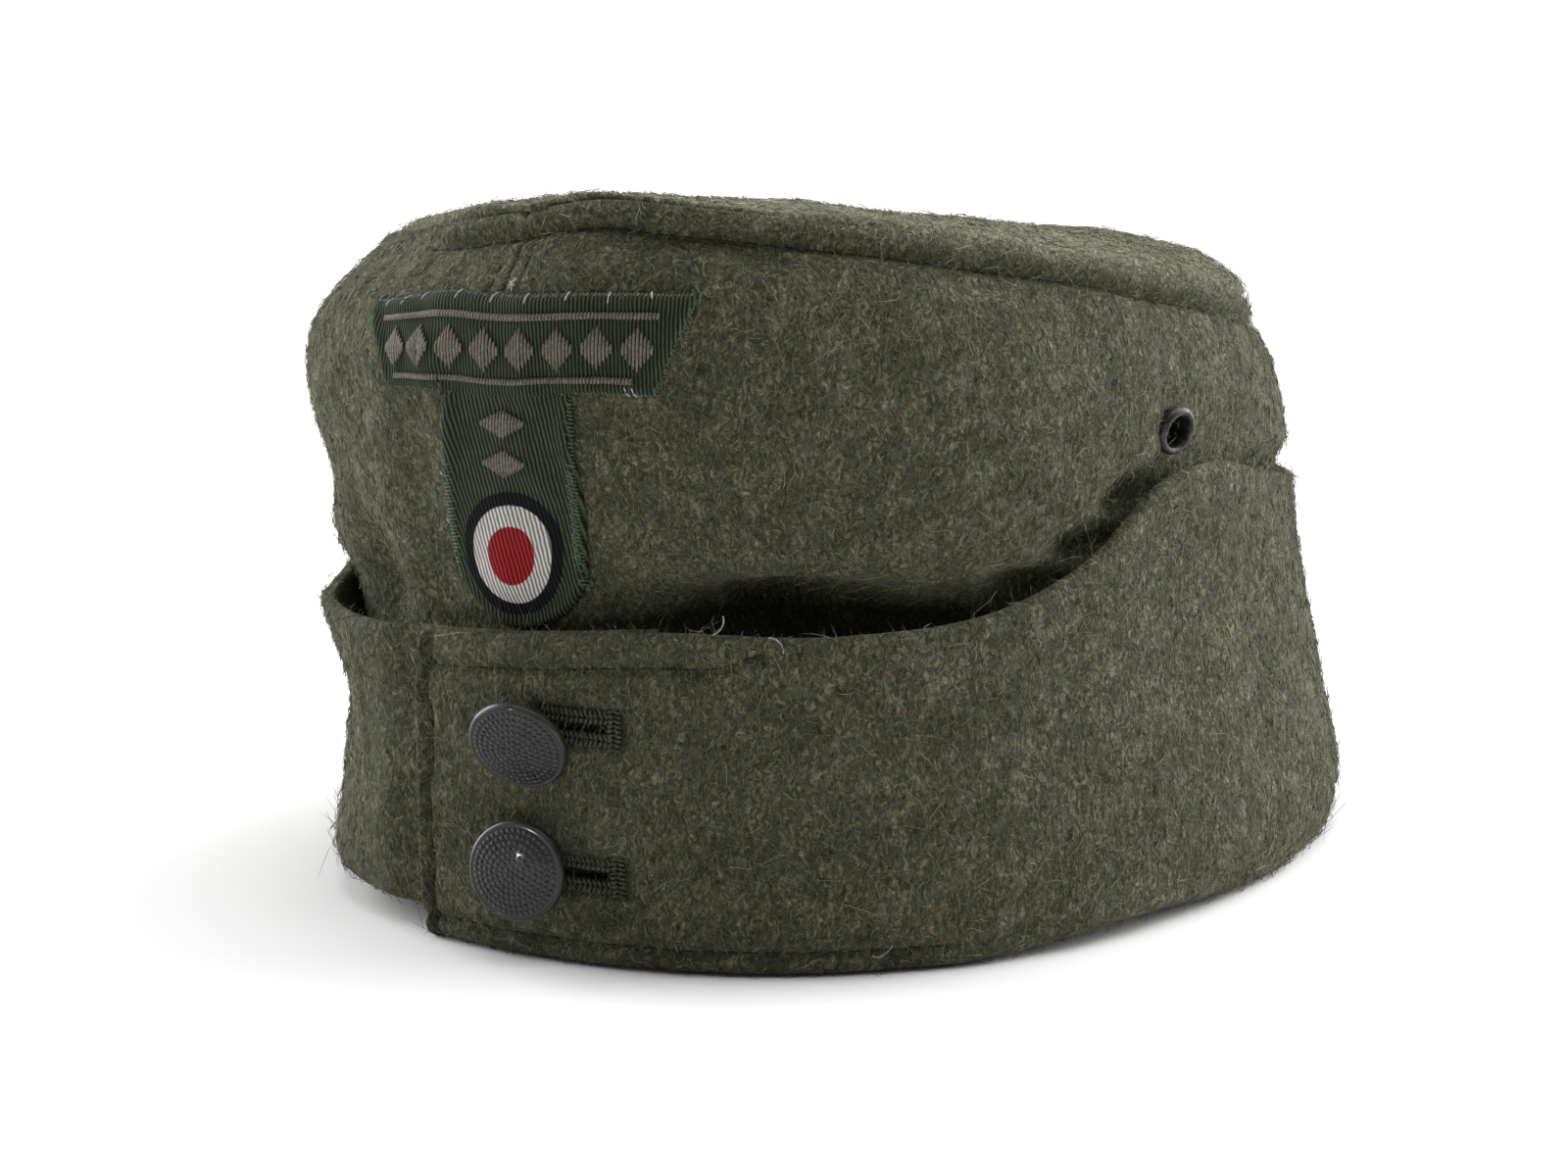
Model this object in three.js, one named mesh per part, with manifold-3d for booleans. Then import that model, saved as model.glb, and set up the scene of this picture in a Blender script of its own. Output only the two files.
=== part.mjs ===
// A garrison cap of felted wool: a soft crown of two sides and a top panel, a turn-up flap all round that
// overlaps and buttons at the front, two ventilation eyelets and a T-shaped woven patch.
// Lengths are millimetres, +Z is up, the front faces -Y and the wearer's left is +X.
// The origin lies under the middle of the cap, on the surface that the cap rests on.
// Angles go round the head in degrees: 0 is the front, 90 the wearer's left, 180 the back, -90 the right.
import * as THREE from "three";
import { mergeVertices } from "three/addons/utils/BufferGeometryUtils.js";
import Module from "manifold-3d";

// Crown
const crownHeight = 118;
const halfLength = 98;
const halfWidth = 79;
const cloth = 2;
const clearance = 0.3;

// Turn-up flap
const flapCloth = 2.5;
const flapEase = 1.1; // looseness between the flap and the crown inside it
const turnIn = 10; // how far the bottom fold reaches in under the crown
const frontBend = 0.95 * halfWidth; // radius that turns a length along the front into an angle
const tabReach = 19.5; // the overlapping end, past the centre of the front
const underReach = 24; // the end below it, past the centre on the other side

// Buttons
const buttonDiameter = 16;
const buttonHeight = 3.4;
const buttonRim = 0.9;
const shankDiameter = 2.4;
const buttonStandOff = 2.1;
const buttonPlace = 2.6; // from the centre of the front to the wearer's left
const holeLength = 19;
const holeHeight = 3.8;
// Height of each button as a share of the crown's full height, and how far it tips on its thread.
const buttons = [
  { name: "button_upper", height: 0.318, turn: 10, nod: -7 },
  { name: "button_lower", height: 0.131, turn: 9, nod: 2 },
];

// Eyelets
const eyeletDiameter = 8.4;
const eyeletBore = 5.6;
const eyeletMetal = 0.6;
const eyeletSeat = 0.75; // from the cloth's curved face to the eyelet's flat flange
const eyeletAngle = 84;
const eyeletClear = 2.8; // from the flap's edge to the eyelet's flange

// Woven patch
const patchThickness = 0.8;
const patchGap = 0.6; // the crown's facets stand out a little in its hollows
const patchTop = 108;
const patchBarHeight = 15.5;
const patchFoot = 49.5;
const patchTopHalf = 31;
const patchBarHalf = 25.5;
const patchStemHalf = 13;

// Crown sections: height as a share of the crown's height there; reaches as shares of half the length
// (front, back) and half the width (left, right); square is how far the corners of the oval stand out.
const crownSections = [
  { height: 0.0, front: 0.945, back: 0.985, left: 0.975, right: 0.88, square: 0.018 },
  { height: 0.3, front: 0.935, back: 0.965, left: 0.94, right: 0.925, square: 0.018 },
  { height: 0.45, front: 0.91, back: 0.97, left: 0.93, right: 0.955, square: 0.018 },
  { height: 0.56, front: 0.945, back: 0.98, left: 0.94, right: 0.975, square: 0.018 },
  { height: 0.74, front: 0.99, back: 0.99, left: 0.94, right: 1.005, square: 0.018 },
  { height: 0.89, front: 0.995, back: 0.98, left: 0.905, right: 1.01, square: 0.01 },
  { height: 1.0, front: 0.92, back: 0.95, left: 0.835, right: 0.845, square: -0.01 },
];

// Flap sections, with height as a share of the crown's full height.
const flapSections = [
  { height: 0.0, front: 1.0, back: 1.052, left: 1.055, right: 0.92, square: 0.028 },
  { height: 0.07, front: 1.005, back: 1.062, left: 1.07, right: 0.935, square: 0.028 },
  { height: 0.2, front: 1.005, back: 1.04, left: 1.04, right: 0.93, square: 0.028 },
  { height: 0.41, front: 0.99, back: 0.99, left: 0.98, right: 0.95, square: 0.028 },
  { height: 0.62, front: 0.97, back: 0.965, left: 0.96, right: 0.965, square: 0.028 },
];

// Edges by angle, with heights as shares of the crown's full height.
const seamLine = [
  { angle: -180, height: 0.73 },
  { angle: -135, height: 0.76 },
  { angle: -90, height: 0.855 },
  { angle: -60, height: 0.905 },
  { angle: -35, height: 0.955 },
  { angle: -15, height: 0.985 },
  { angle: 0, height: 1.0 },
  { angle: 22, height: 1.018 },
  { angle: 40, height: 0.99 },
  { angle: 60, height: 0.95 },
  { angle: 90, height: 0.865 },
  { angle: 135, height: 0.775 },
  { angle: 180, height: 0.73 },
];
const flapEdge = [
  { angle: -180, height: 0.53 },
  { angle: -120, height: 0.555 },
  { angle: -90, height: 0.595 },
  { angle: -80, height: 0.585 },
  { angle: -70, height: 0.48 },
  { angle: -58, height: 0.42 },
  { angle: -40, height: 0.415 },
  { angle: -20, height: 0.43 },
  { angle: 0, height: 0.44 },
  { angle: 20, height: 0.44 },
  { angle: 40, height: 0.432 },
  { angle: 58, height: 0.457 },
  { angle: 70, height: 0.525 },
  { angle: 80, height: 0.6 },
  { angle: 90, height: 0.62 },
  { angle: 105, height: 0.58 },
  { angle: 120, height: 0.54 },
  { angle: 180, height: 0.53 },
];

// How far the lower flap end is pulled up, as shares of the crown's full height.
const underLift = [
  { angle: -180, height: 0 },
  { angle: -110, height: 0 },
  { angle: -80, height: 0.035 },
  { angle: -55, height: 0.045 },
  { angle: -25, height: 0.032 },
  { angle: 0, height: 0.03 },
  { angle: 30, height: 0.03 },
  { angle: 60, height: 0 },
  { angle: 180, height: 0 },
];

// Top panel: rise over the seam as a share of the crown's height, how full its cross-section is,
// and how far its sides stand out over the seam.
const topSections = [
  { angle: 0, rise: 0, full: 2.4, overhang: 0 },
  { angle: 15, rise: 0.022, full: 2.4, overhang: 0 },
  { angle: 30, rise: 0.036, full: 2.4, overhang: 0 },
  { angle: 60, rise: 0.062, full: 2.8, overhang: 0.2 },
  { angle: 90, rise: 0.075, full: 3.4, overhang: 0.5 },
  { angle: 120, rise: 0.09, full: 4.5, overhang: 0.9 },
  { angle: 150, rise: 0.115, full: 6, overhang: 1.3 },
  { angle: 168, rise: 0.11, full: 6, overhang: 1.3 },
  { angle: 180, rise: 0, full: 6, overhang: 1.3 },
];

// Folds and dents: angle and height of the middle, spread round the cap in radians, spread in height
// as a share of the crown's height, and depth as a share of half the width, inwards where negative.
const crownFolds = [
  { angle: 45, height: 0.43, round: 0.42, tall: 0.07, depth: -0.1 },
  { angle: -38, height: 0.46, round: 0.2, tall: 0.07, depth: -0.02 },
  { angle: 93, height: 0.6, round: 0.2, tall: 0.09, depth: -0.035 },
  { angle: -88, height: 0.69, round: 0.3, tall: 0.12, depth: -0.045 },
];
const flapFolds = [
  { angle: -50, height: 0.29, round: 0.35, tall: 0.08, depth: -0.02 },
  { angle: -50, height: 0.42, round: 0.35, tall: 0.07, depth: 0.035 },
];

const wasm = await Module();
wasm.setup();

const radians = THREE.MathUtils.degToRad;
const foldRadius = flapCloth + clearance;
const layer = flapCloth + clearance;
const seamGap = clearance / 2 / halfWidth;
const tabAngle = -tabReach / frontBend;
const underAngle = underReach / frontBend;

// Smooth curve through the rows of a table, level at both ends.
function smooth(rows, key, column, value) {
  const last = rows.length - 1;
  const x = THREE.MathUtils.clamp(value, rows[0][key], rows[last][key]);
  let i = 0;
  while (i < last - 1 && x >= rows[i + 1][key]) i += 1;
  const slope = (n) => {
    if (n === 0 || n === last) return 0;
    const before = rows[n][key] - rows[n - 1][key];
    const after = rows[n + 1][key] - rows[n][key];
    const rise = (rows[n + 1][column] - rows[n][column]) / after;
    const fall = (rows[n][column] - rows[n - 1][column]) / before;
    return (rise * before + fall * after) / (before + after);
  };
  const span = rows[i + 1][key] - rows[i][key];
  const t = (x - rows[i][key]) / span;
  const s = t * t * (3 - 2 * t);
  const ends = rows[i][column] * (1 - s) + rows[i + 1][column] * s;
  const bend = slope(i) * t * (1 - t) ** 2 - slope(i + 1) * t * t * (1 - t);
  return ends + span * bend;
}

function step(value) {
  const t = THREE.MathUtils.clamp(value, 0, 1);
  return t * t * (3 - 2 * t);
}

function wrapped(u) {
  return THREE.MathUtils.euclideanModulo(u + Math.PI, 2 * Math.PI) - Math.PI;
}

function degrees(u) {
  return THREE.MathUtils.radToDeg(wrapped(u));
}

// Point of a section's oval at angle u.
function oval(u, height, sections) {
  const at = (column) => smooth(sections, "height", column, height);
  const corner = 1 + at("square") * Math.sin(2 * u) ** 2;
  const x = halfWidth * Math.sin(u) * (Math.sin(u) > 0 ? at("left") : at("right"));
  const y = -halfLength * Math.cos(u) * (Math.cos(u) > 0 ? at("front") : at("back"));
  return new THREE.Vector2(x, y).multiplyScalar(corner);
}

// Level direction out of the oval at angle u.
function outward(u, height, sections) {
  const nudge = 0.002;
  const way = oval(u + nudge, height, sections).sub(oval(u - nudge, height, sections));
  return new THREE.Vector2(way.y, -way.x).normalize();
}

function foldDepth(u, z, folds) {
  let depth = 0;
  for (const fold of folds) {
    const round = wrapped(u - radians(fold.angle)) / fold.round;
    const tall = (z / crownHeight - fold.height) / fold.tall;
    depth += fold.depth * halfWidth * Math.exp(-(round ** 2) - tall ** 2);
  }
  return depth;
}

function seamHeight(u) {
  return crownHeight * smooth(seamLine, "angle", "height", degrees(u));
}

function flapHeight(u) {
  return crownHeight * smooth(flapEdge, "angle", "height", degrees(u));
}

function lift(u) {
  return crownHeight * Math.max(smooth(underLift, "angle", "height", degrees(u)), 0);
}

// 1 where the lower flap end lies behind the overlapping one, 0 elsewhere.
function behind(u) {
  const before = step((wrapped(u) - tabAngle + radians(9)) / radians(7));
  const after = 1 - step((wrapped(u) - underAngle - radians(1)) / radians(5));
  return before * after;
}

// Point of the flap at angle u and height z, a depth inside its outermost face.
function flapPoint(u, z, depth) {
  const height = z / crownHeight;
  const out = outward(u, height, flapSections);
  const at = oval(u, height, flapSections).addScaledVector(out, foldDepth(u, z, flapFolds) - depth);
  return new THREE.Vector3(at.x, at.y, z);
}

// Point of the crown's outer face at angle u and a share of its height there. Where the flap stands
// round it, the crown keeps clear of the flap's inner face.
function crownPoint(u, share) {
  const z = share * seamHeight(u);
  const out = outward(u, share, crownSections);
  const at = oval(u, share, crownSections).addScaledVector(out, foldDepth(u, z, crownFolds));
  const wall = flapPoint(u, z, flapCloth + flapEase + layer * behind(u));
  const over = at.clone().sub(new THREE.Vector2(wall.x, wall.y)).dot(out);
  const free = Math.max(z - flapHeight(u) - cloth, 0) / 2;
  at.addScaledVector(out, -Math.max(over - free, 0));
  return new THREE.Vector3(at.x, at.y, z);
}

// Direction out of the crown's face.
function crownOutward(u, share) {
  const nudge = 0.004;
  const high = Math.min(share + nudge, 1);
  const low = Math.max(share - nudge, 0);
  const round = crownPoint(u + nudge, share).sub(crownPoint(u - nudge, share));
  const up = crownPoint(u, high).sub(crownPoint(u, low));
  return round.cross(up).normalize();
}

function crownFoot(u) {
  return lift(u) + flapCloth + clearance;
}

// Way from the outer to the inner edge of the top seam, where sides and top panel meet on a slant.
function seamSlant(u) {
  const out = outward(u, 1, crownSections);
  return new THREE.Vector3(-out.x * 0.9, -out.y * 0.9, -0.6).multiplyScalar(cloth);
}

// Point of the top panel at angle u from the front to the back, across from -1, the wearer's right, to 1.
function topPoint(u, across) {
  const left = crownPoint(u, 1);
  const right = crownPoint(-u, 1);
  const angle = THREE.MathUtils.radToDeg(u);
  const rise = crownHeight * smooth(topSections, "angle", "rise", angle);
  const full = smooth(topSections, "angle", "full", angle);
  const overhang = smooth(topSections, "angle", "overhang", angle);
  const size = Math.abs(across);
  const wide = Math.sign(across) * (size + overhang * (1 - size) * size ** 3);
  const at = right.clone().lerp(left, (wide + 1) / 2);
  const level = THREE.MathUtils.lerp(right.z, left.z, (across + 1) / 2);
  at.z = level + rise * (1 - size ** full) + clearance;
  return at;
}

function topOutward(u, across) {
  const nudge = 0.01;
  const front = topPoint(Math.max(u - nudge, 0), across);
  const back = topPoint(Math.min(u + nudge, Math.PI), across);
  const right = topPoint(u, Math.max(across - nudge, -1));
  const left = topPoint(u, Math.min(across + nudge, 1));
  return left.sub(right).cross(back.sub(front)).normalize();
}

// Closed wall between an outer and an inner grid of points, over the cells that covers() keeps.
function wallBetween(outer, inner, covers = () => true) {
  const numbers = new Map();
  const positions = [];
  const number = (point) => {
    const key = point.toArray().map((value) => Math.round(value * 1e4)).join();
    if (!numbers.has(key)) {
      numbers.set(key, numbers.size);
      positions.push(point.x, point.y, point.z);
    }
    return numbers.get(key);
  };
  const outside = outer.map((row) => row.map(number));
  const inside = inner.map((row) => row.map(number));
  const faces = [];
  const face = (a, b, c) => {
    if (a !== b && b !== c && c !== a) faces.push(a, b, c);
  };
  const rim = new Map();
  for (let i = 0; i < outer.length - 1; i += 1) {
    for (let j = 0; j < outer[0].length - 1; j += 1) {
      if (!covers(i, j)) continue;
      const corners = [[i, j], [i + 1, j], [i + 1, j + 1], [i, j + 1]];
      const [a, b, c, d] = corners.map(([row, column]) => outside[row][column]);
      const [e, f, g, h] = corners.map(([row, column]) => inside[row][column]);
      face(a, b, c);
      face(a, c, d);
      face(e, g, f);
      face(e, h, g);
      for (const [from, to, under, beyond] of [[a, b, e, f], [b, c, f, g], [c, d, g, h], [d, a, h, e]]) {
        if (from === to) continue;
        if (!rim.delete(`${to} ${from}`)) rim.set(`${from} ${to}`, [from, to, under, beyond]);
      }
    }
  }
  for (const [from, to, under, beyond] of rim.values()) {
    face(to, from, under);
    face(to, under, beyond);
  }
  const geometry = new THREE.BufferGeometry();
  geometry.setAttribute("position", new THREE.Float32BufferAttribute(positions, 3));
  geometry.setIndex(faces);
  return geometry;
}

function solidOf(geometry) {
  const bare = new THREE.BufferGeometry();
  bare.setAttribute("position", geometry.getAttribute("position"));
  bare.setIndex(geometry.index);
  const merged = mergeVertices(bare);
  const vertProperties = merged.getAttribute("position").array;
  const triVerts = new Uint32Array(merged.index.array);
  return new wasm.Manifold(new wasm.Mesh({ numProp: 3, vertProperties, triVerts }));
}

// The geometry with each cutter taken out of it.
function cutBy(geometry, cutters) {
  let solid = solidOf(geometry);
  for (const cutter of cutters) solid = solid.subtract(solidOf(cutter));
  const mesh = solid.getMesh();
  const cut = new THREE.BufferGeometry();
  cut.setAttribute("position", new THREE.BufferAttribute(mesh.vertProperties, 3));
  cut.setIndex(new THREE.BufferAttribute(mesh.triVerts, 1));
  return cut;
}

// Evenly spaced values from one end to the other.
function spread(from, to, count) {
  return Array.from({ length: count + 1 }, (_, i) => THREE.MathUtils.lerp(from, to, i / count));
}

const looks = {
  wool: { color: 0x55563f, roughness: 0.95, metalness: 0 },
  weave: { color: 0x2f3a29, roughness: 0.85, metalness: 0 },
  paint: { color: 0x2d2e2a, roughness: 0.55, metalness: 0.3 },
  blackening: { color: 0x3c3c38, roughness: 0.45, metalness: 0.7 },
};

function piece(name, geometry, look) {
  geometry.computeVertexNormals();
  const mesh = new THREE.Mesh(geometry, new THREE.MeshStandardMaterial(looks[look]));
  mesh.name = name;
  return mesh;
}

// Crown
const crownColumns = 32;
const crownRows = 15;

function eyeletPlace(side) {
  const u = radians(eyeletAngle * side);
  const share = (flapHeight(u) + eyeletClear + eyeletDiameter / 2) / seamHeight(u);
  const out = crownOutward(u, share);
  const turned = new THREE.Quaternion().setFromUnitVectors(new THREE.Vector3(0, 1, 0), out);
  return { at: crownPoint(u, share), turned };
}

function crownSide(side) {
  const angles = spread(seamGap, Math.PI - seamGap, crownColumns).map((u) => side * u);
  if (side < 0) angles.reverse();
  const outer = [];
  const inner = [];
  for (const u of angles) {
    const shares = spread(crownFoot(u) / seamHeight(u), 1, crownRows);
    const face = shares.map((share) => crownPoint(u, share));
    const back = face.map((point, j) => point.clone().addScaledVector(crownOutward(u, shares[j]), -cloth));
    back[0].z = face[0].z;
    back[crownRows] = face[crownRows].clone().add(seamSlant(u));
    outer.push(face);
    inner.push(back);
  }
  const { at, turned } = eyeletPlace(side);
  const hole = new THREE.CylinderGeometry(eyeletBarrel + clearance, eyeletBarrel + clearance, 6 * cloth, 24);
  hole.applyMatrix4(new THREE.Matrix4().compose(at, turned, new THREE.Vector3(1, 1, 1)));
  return cutBy(wallBetween(outer, inner), [hole]);
}

// Way through the top panel's cloth: the seam's slant at its rim, straight through it further in.
function topThrough(u, across) {
  const slant = seamSlant(across < 0 ? -u : u);
  const halfWay = crownPoint(u, 1).distanceTo(crownPoint(-u, 1)) / 2;
  const inside = step(((1 - Math.abs(across)) * halfWay) / (4 * cloth));
  if (inside === 0) return slant;
  return slant.lerp(topOutward(u, across).multiplyScalar(-cloth), inside);
}

function crownTop() {
  const along = spread(0, Math.PI, 24);
  const across = spread(-1, 1, 12).map((t) => Math.sin((t * Math.PI) / 2));
  const outer = along.map((u) => across.map((t) => topPoint(u, t)));
  const inner = along.map((u) => across.map((t) => topPoint(u, t).add(topThrough(u, t))));
  return wallBetween(inner, outer);
}

// Flap
const flapColumns = 34;
const flapRows = 8;

// Steps down the flap's section: depth from the outer face and height, for its outer and inner face.
function flapSection(foot, top) {
  const steps = spread(top, foot + foldRadius, flapRows).map((z) => [[0, z], [flapCloth, z]]);
  for (const turn of [30, 60, 90]) {
    const across = Math.cos(radians(turn));
    const down = Math.sin(radians(turn));
    const inside = foldRadius - flapCloth;
    steps.push([
      [foldRadius - foldRadius * across, foot + foldRadius - foldRadius * down],
      [foldRadius - inside * across, foot + foldRadius - inside * down],
    ]);
  }
  steps.push([[turnIn, foot], [turnIn, foot + flapCloth]]);
  return steps;
}

function flapBetween(from, to, footAt, depthAt) {
  const outer = [];
  const inner = [];
  for (const u of spread(from, to, flapColumns)) {
    const steps = flapSection(footAt(u), flapHeight(u)).reverse();
    outer.push(steps.map(([face]) => flapPoint(u, face[1], face[0] + depthAt(u))));
    inner.push(steps.map(([, back]) => flapPoint(u, back[1], back[0] + depthAt(u))));
  }
  return wallBetween(outer, inner);
}

// Where a button's shank passes through the flap: its point on the outer face and its directions.
function buttonPlace3d(button) {
  const u = buttonPlace / frontBend;
  const at = flapPoint(u, button.height * crownHeight, 0);
  const out = outward(u, button.height, flapSections);
  return { u, at, out: new THREE.Vector3(out.x, out.y, 0) };
}

function buttonHole(button) {
  const { at, out } = buttonPlace3d(button);
  const slit = new THREE.BoxGeometry(holeLength, 5 * flapCloth, holeHeight);
  slit.translate(holeLength / 2 - shankDiameter, 0, 0);
  const round = new THREE.Vector3(0, 0, 1).cross(out).normalize();
  const bend = holeLength / 2 / frontBend;
  const along = new THREE.Matrix4().makeBasis(round, out.clone().negate(), new THREE.Vector3(0, 0, 1));
  slit.applyMatrix4(new THREE.Matrix4().makeRotationZ(bend));
  slit.applyMatrix4(along);
  slit.translate(at.x, at.y, at.z);
  return slit;
}

function flapLeft() {
  const flap = flapBetween(tabAngle, Math.PI - seamGap, () => 0, () => 0);
  return cutBy(flap, buttons.map(buttonHole));
}

function flapRight() {
  return flapBetween(-Math.PI + seamGap, underAngle, lift, (u) => layer * behind(u));
}

// Buttons: a domed face with a rolled rim, a flat back and a round shank.
function buttonGeometry() {
  const radius = buttonDiameter / 2;
  const shank = shankDiameter / 2;
  const foot = -buttonStandOff - flapCloth;
  const face = buttonRim + (buttonHeight - buttonRim) * 0.45;
  const profile = [
    [0, foot],
    [shank, foot],
    [shank, 0],
    [radius - buttonRim * 0.6, 0],
    [radius, buttonRim * 0.5],
    [radius - buttonRim * 0.2, face * 0.75],
    [radius * 0.82, face + 0.25 * (buttonHeight - face)],
    [radius * 0.5, face + 0.78 * (buttonHeight - face)],
    [0, buttonHeight],
  ].map(([r, y]) => new THREE.Vector2(r, y));
  return new THREE.LatheGeometry(profile, 28);
}

function buttonMesh(button) {
  const mesh = piece(button.name, buttonGeometry(), "paint");
  const { at, out } = buttonPlace3d(button);
  const turned = new THREE.Quaternion().setFromUnitVectors(new THREE.Vector3(0, 1, 0), out);
  const round = new THREE.Vector3(0, 0, 1).cross(out);
  const nod = new THREE.Quaternion().setFromAxisAngle(round, radians(-button.nod));
  const turn = new THREE.Quaternion().setFromAxisAngle(new THREE.Vector3(0, 0, 1), radians(button.turn));
  mesh.quaternion.copy(turn).multiply(nod).multiply(turned);
  const pivot = new THREE.Vector3(0, -buttonStandOff - flapCloth / 2, 0).applyQuaternion(mesh.quaternion);
  mesh.position.copy(at).addScaledVector(out, -flapCloth / 2).sub(pivot);
  return mesh;
}

// Eyelets: a spool of thin metal through the cloth, closed over it on both faces.
const eyeletBarrel = eyeletBore / 2 + eyeletMetal;

function eyeletGeometry() {
  const bore = eyeletBore / 2;
  const flange = eyeletDiameter / 2;
  const face = eyeletSeat;
  const back = -cloth - eyeletSeat;
  const profile = [
    [bore, back - eyeletMetal],
    [flange - eyeletMetal, back - eyeletMetal],
    [flange - eyeletMetal, back],
    [eyeletBarrel, back],
    [eyeletBarrel, face],
    [flange, face],
    [flange - eyeletMetal * 0.4, face + eyeletMetal * 1.2],
    [bore + eyeletMetal, face + eyeletMetal * 1.5],
    [bore, face + eyeletMetal * 0.6],
    [bore, back - eyeletMetal],
  ].map(([r, y]) => new THREE.Vector2(r, y));
  return new THREE.LatheGeometry(profile, 18);
}

function eyeletMesh(name, side) {
  const mesh = piece(name, eyeletGeometry(), "blackening");
  const { at, turned } = eyeletPlace(side);
  mesh.position.copy(at);
  mesh.quaternion.copy(turned);
  return mesh;
}

// Patch: a T that lies on the front of the crown, its foot behind the flap's edge.
function patchGeometry() {
  const barFoot = patchTop - patchBarHeight;
  const heights = [...spread(patchFoot, barFoot, 9), ...spread(barFoot, patchTop, 3).slice(1)];
  const columns = [...spread(-2, -1, 3), ...spread(-1, 1, 6).slice(1), ...spread(1, 2, 3).slice(1)];
  const half = (z) => THREE.MathUtils.mapLinear(z, barFoot, patchTop, patchBarHalf, patchTopHalf);
  const length = (column, z) => {
    const wing = Math.max(Math.abs(column) - 1, 0) * (half(z) - patchStemHalf);
    return Math.sign(column) * (Math.min(Math.abs(column), 1) * patchStemHalf + wing);
  };
  const grid = (height) =>
    columns.map((column) =>
      heights.map((z) => {
        const u = length(column, z) / frontBend;
        const share = z / seamHeight(u);
        return crownPoint(u, share).addScaledVector(crownOutward(u, share), height);
      }),
    );
  const covers = (i, j) => heights[j] > barFoot - 0.001 || Math.abs(columns[i] + columns[i + 1]) < 2;
  return wallBetween(grid(patchGap + patchThickness), grid(patchGap), covers);
}

const cap = new THREE.Group();
cap.add(
  piece("crown_side_left", crownSide(1), "wool"),
  piece("crown_side_right", crownSide(-1), "wool"),
  piece("crown_top", crownTop(), "wool"),
  piece("flap_left", flapLeft(), "wool"),
  piece("flap_right", flapRight(), "wool"),
  piece("cap_patch", patchGeometry(), "weave"),
  eyeletMesh("eyelet_left", 1),
  eyeletMesh("eyelet_right", -1),
  ...buttons.map(buttonMesh),
);

// The cap stands over the middle of its own outline.
const outline = new THREE.Box3().setFromObject(cap, true);
const middle = outline.getCenter(new THREE.Vector3());
cap.position.set(-middle.x, -middle.y, -outline.min.z);

const root = new THREE.Group();
root.add(cap);
export default root;
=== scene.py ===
import math

import bmesh
import bpy
import numpy as np
from mathutils import Matrix, Quaternion, Vector


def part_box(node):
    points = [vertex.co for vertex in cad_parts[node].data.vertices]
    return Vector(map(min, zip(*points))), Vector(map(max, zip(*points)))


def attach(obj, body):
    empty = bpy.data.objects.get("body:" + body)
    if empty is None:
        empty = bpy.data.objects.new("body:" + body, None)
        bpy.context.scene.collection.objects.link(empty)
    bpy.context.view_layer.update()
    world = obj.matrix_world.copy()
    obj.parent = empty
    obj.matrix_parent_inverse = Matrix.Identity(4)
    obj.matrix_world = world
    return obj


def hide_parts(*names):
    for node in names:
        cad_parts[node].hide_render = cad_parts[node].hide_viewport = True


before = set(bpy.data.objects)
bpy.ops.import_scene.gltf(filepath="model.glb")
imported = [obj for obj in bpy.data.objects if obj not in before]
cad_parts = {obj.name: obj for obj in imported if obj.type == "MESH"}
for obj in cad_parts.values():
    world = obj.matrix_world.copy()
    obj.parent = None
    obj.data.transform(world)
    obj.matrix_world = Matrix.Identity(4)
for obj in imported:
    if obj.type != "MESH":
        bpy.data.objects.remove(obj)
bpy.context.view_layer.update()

MM = 0.001

# Crown
CROWN_HEIGHT = 118
HALF_LENGTH = 98
HALF_WIDTH = 79
CLOTH = 2
CLEARANCE = 0.3

# Flap
FLAP_CLOTH = 2.5
FLAP_EASE = 1.1
TURN_IN = 10
FRONT_BEND = 0.95 * HALF_WIDTH
TAB_ANGLE = -19.5 / FRONT_BEND
UNDER_ANGLE = 24 / FRONT_BEND
LAYER = FLAP_CLOTH + CLEARANCE
FOLD_RADIUS = FLAP_CLOTH + CLEARANCE
SEAM_GAP = CLEARANCE / 2 / HALF_WIDTH

# Stitch lines: below the top seam, beside the front seam, and on the tab above its foot and in from its end
SEAM_STITCHES = 3.7
FRONT_STITCHES = 2.8
FOOT_STITCHES = 4.0
END_STITCHES = 2.6
STITCH = 2.6
STITCH_GAP = 0.7

# Buttons and buttonholes
BUTTON_RADIUS = 8.2
BUTTON_DOME = 3.4
BUTTONS = {
    "button_upper": {"height": 0.33 * CROWN_HEIGHT, "along": 3.7, "turn": 10, "nod": -26, "stand_off": 3.7},
    "button_lower": {"height": 0.131 * CROWN_HEIGHT, "along": 3.3, "turn": 9, "nod": 2, "stand_off": 2.1},
}
HOLE_START = 0.2
HOLE_END = 16.6
HOLE_HALF = 0.75

# Eyelets
EYELET_ANGLE = math.radians(84)
EYELET_RADIUS = 4.2
EYELET_BORE = 2.8
EYELET_CLEAR = 2.8
EYELET_TURN = 14
EYELET_NOD = 13

# Woven patch, in lengths along the cloth from the centre of the front and heights
PATCH_TOP = 108
PATCH_BAR_FOOT = 92.5
PATCH_TOP_HALF = 31.6
PATCH_BAR_HALF = 25.3
PATCH_STEM_HALF = 13
PATCH_END = 65
PATCH_END_RADIUS = 11.8
PATCH_FOOT = PATCH_END - 0.985 * PATCH_END_RADIUS
ROUNDEL_ACROSS = -0.4
ROUNDEL_HEIGHT = 66.3
ROUNDEL_LEAN = 0.05
ROUNDEL_BLACK = 10.6
ROUNDEL_WHITE = 8.4
ROUNDEL_RED = 4.9
ROUNDEL_NARROW = 0.9

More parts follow.
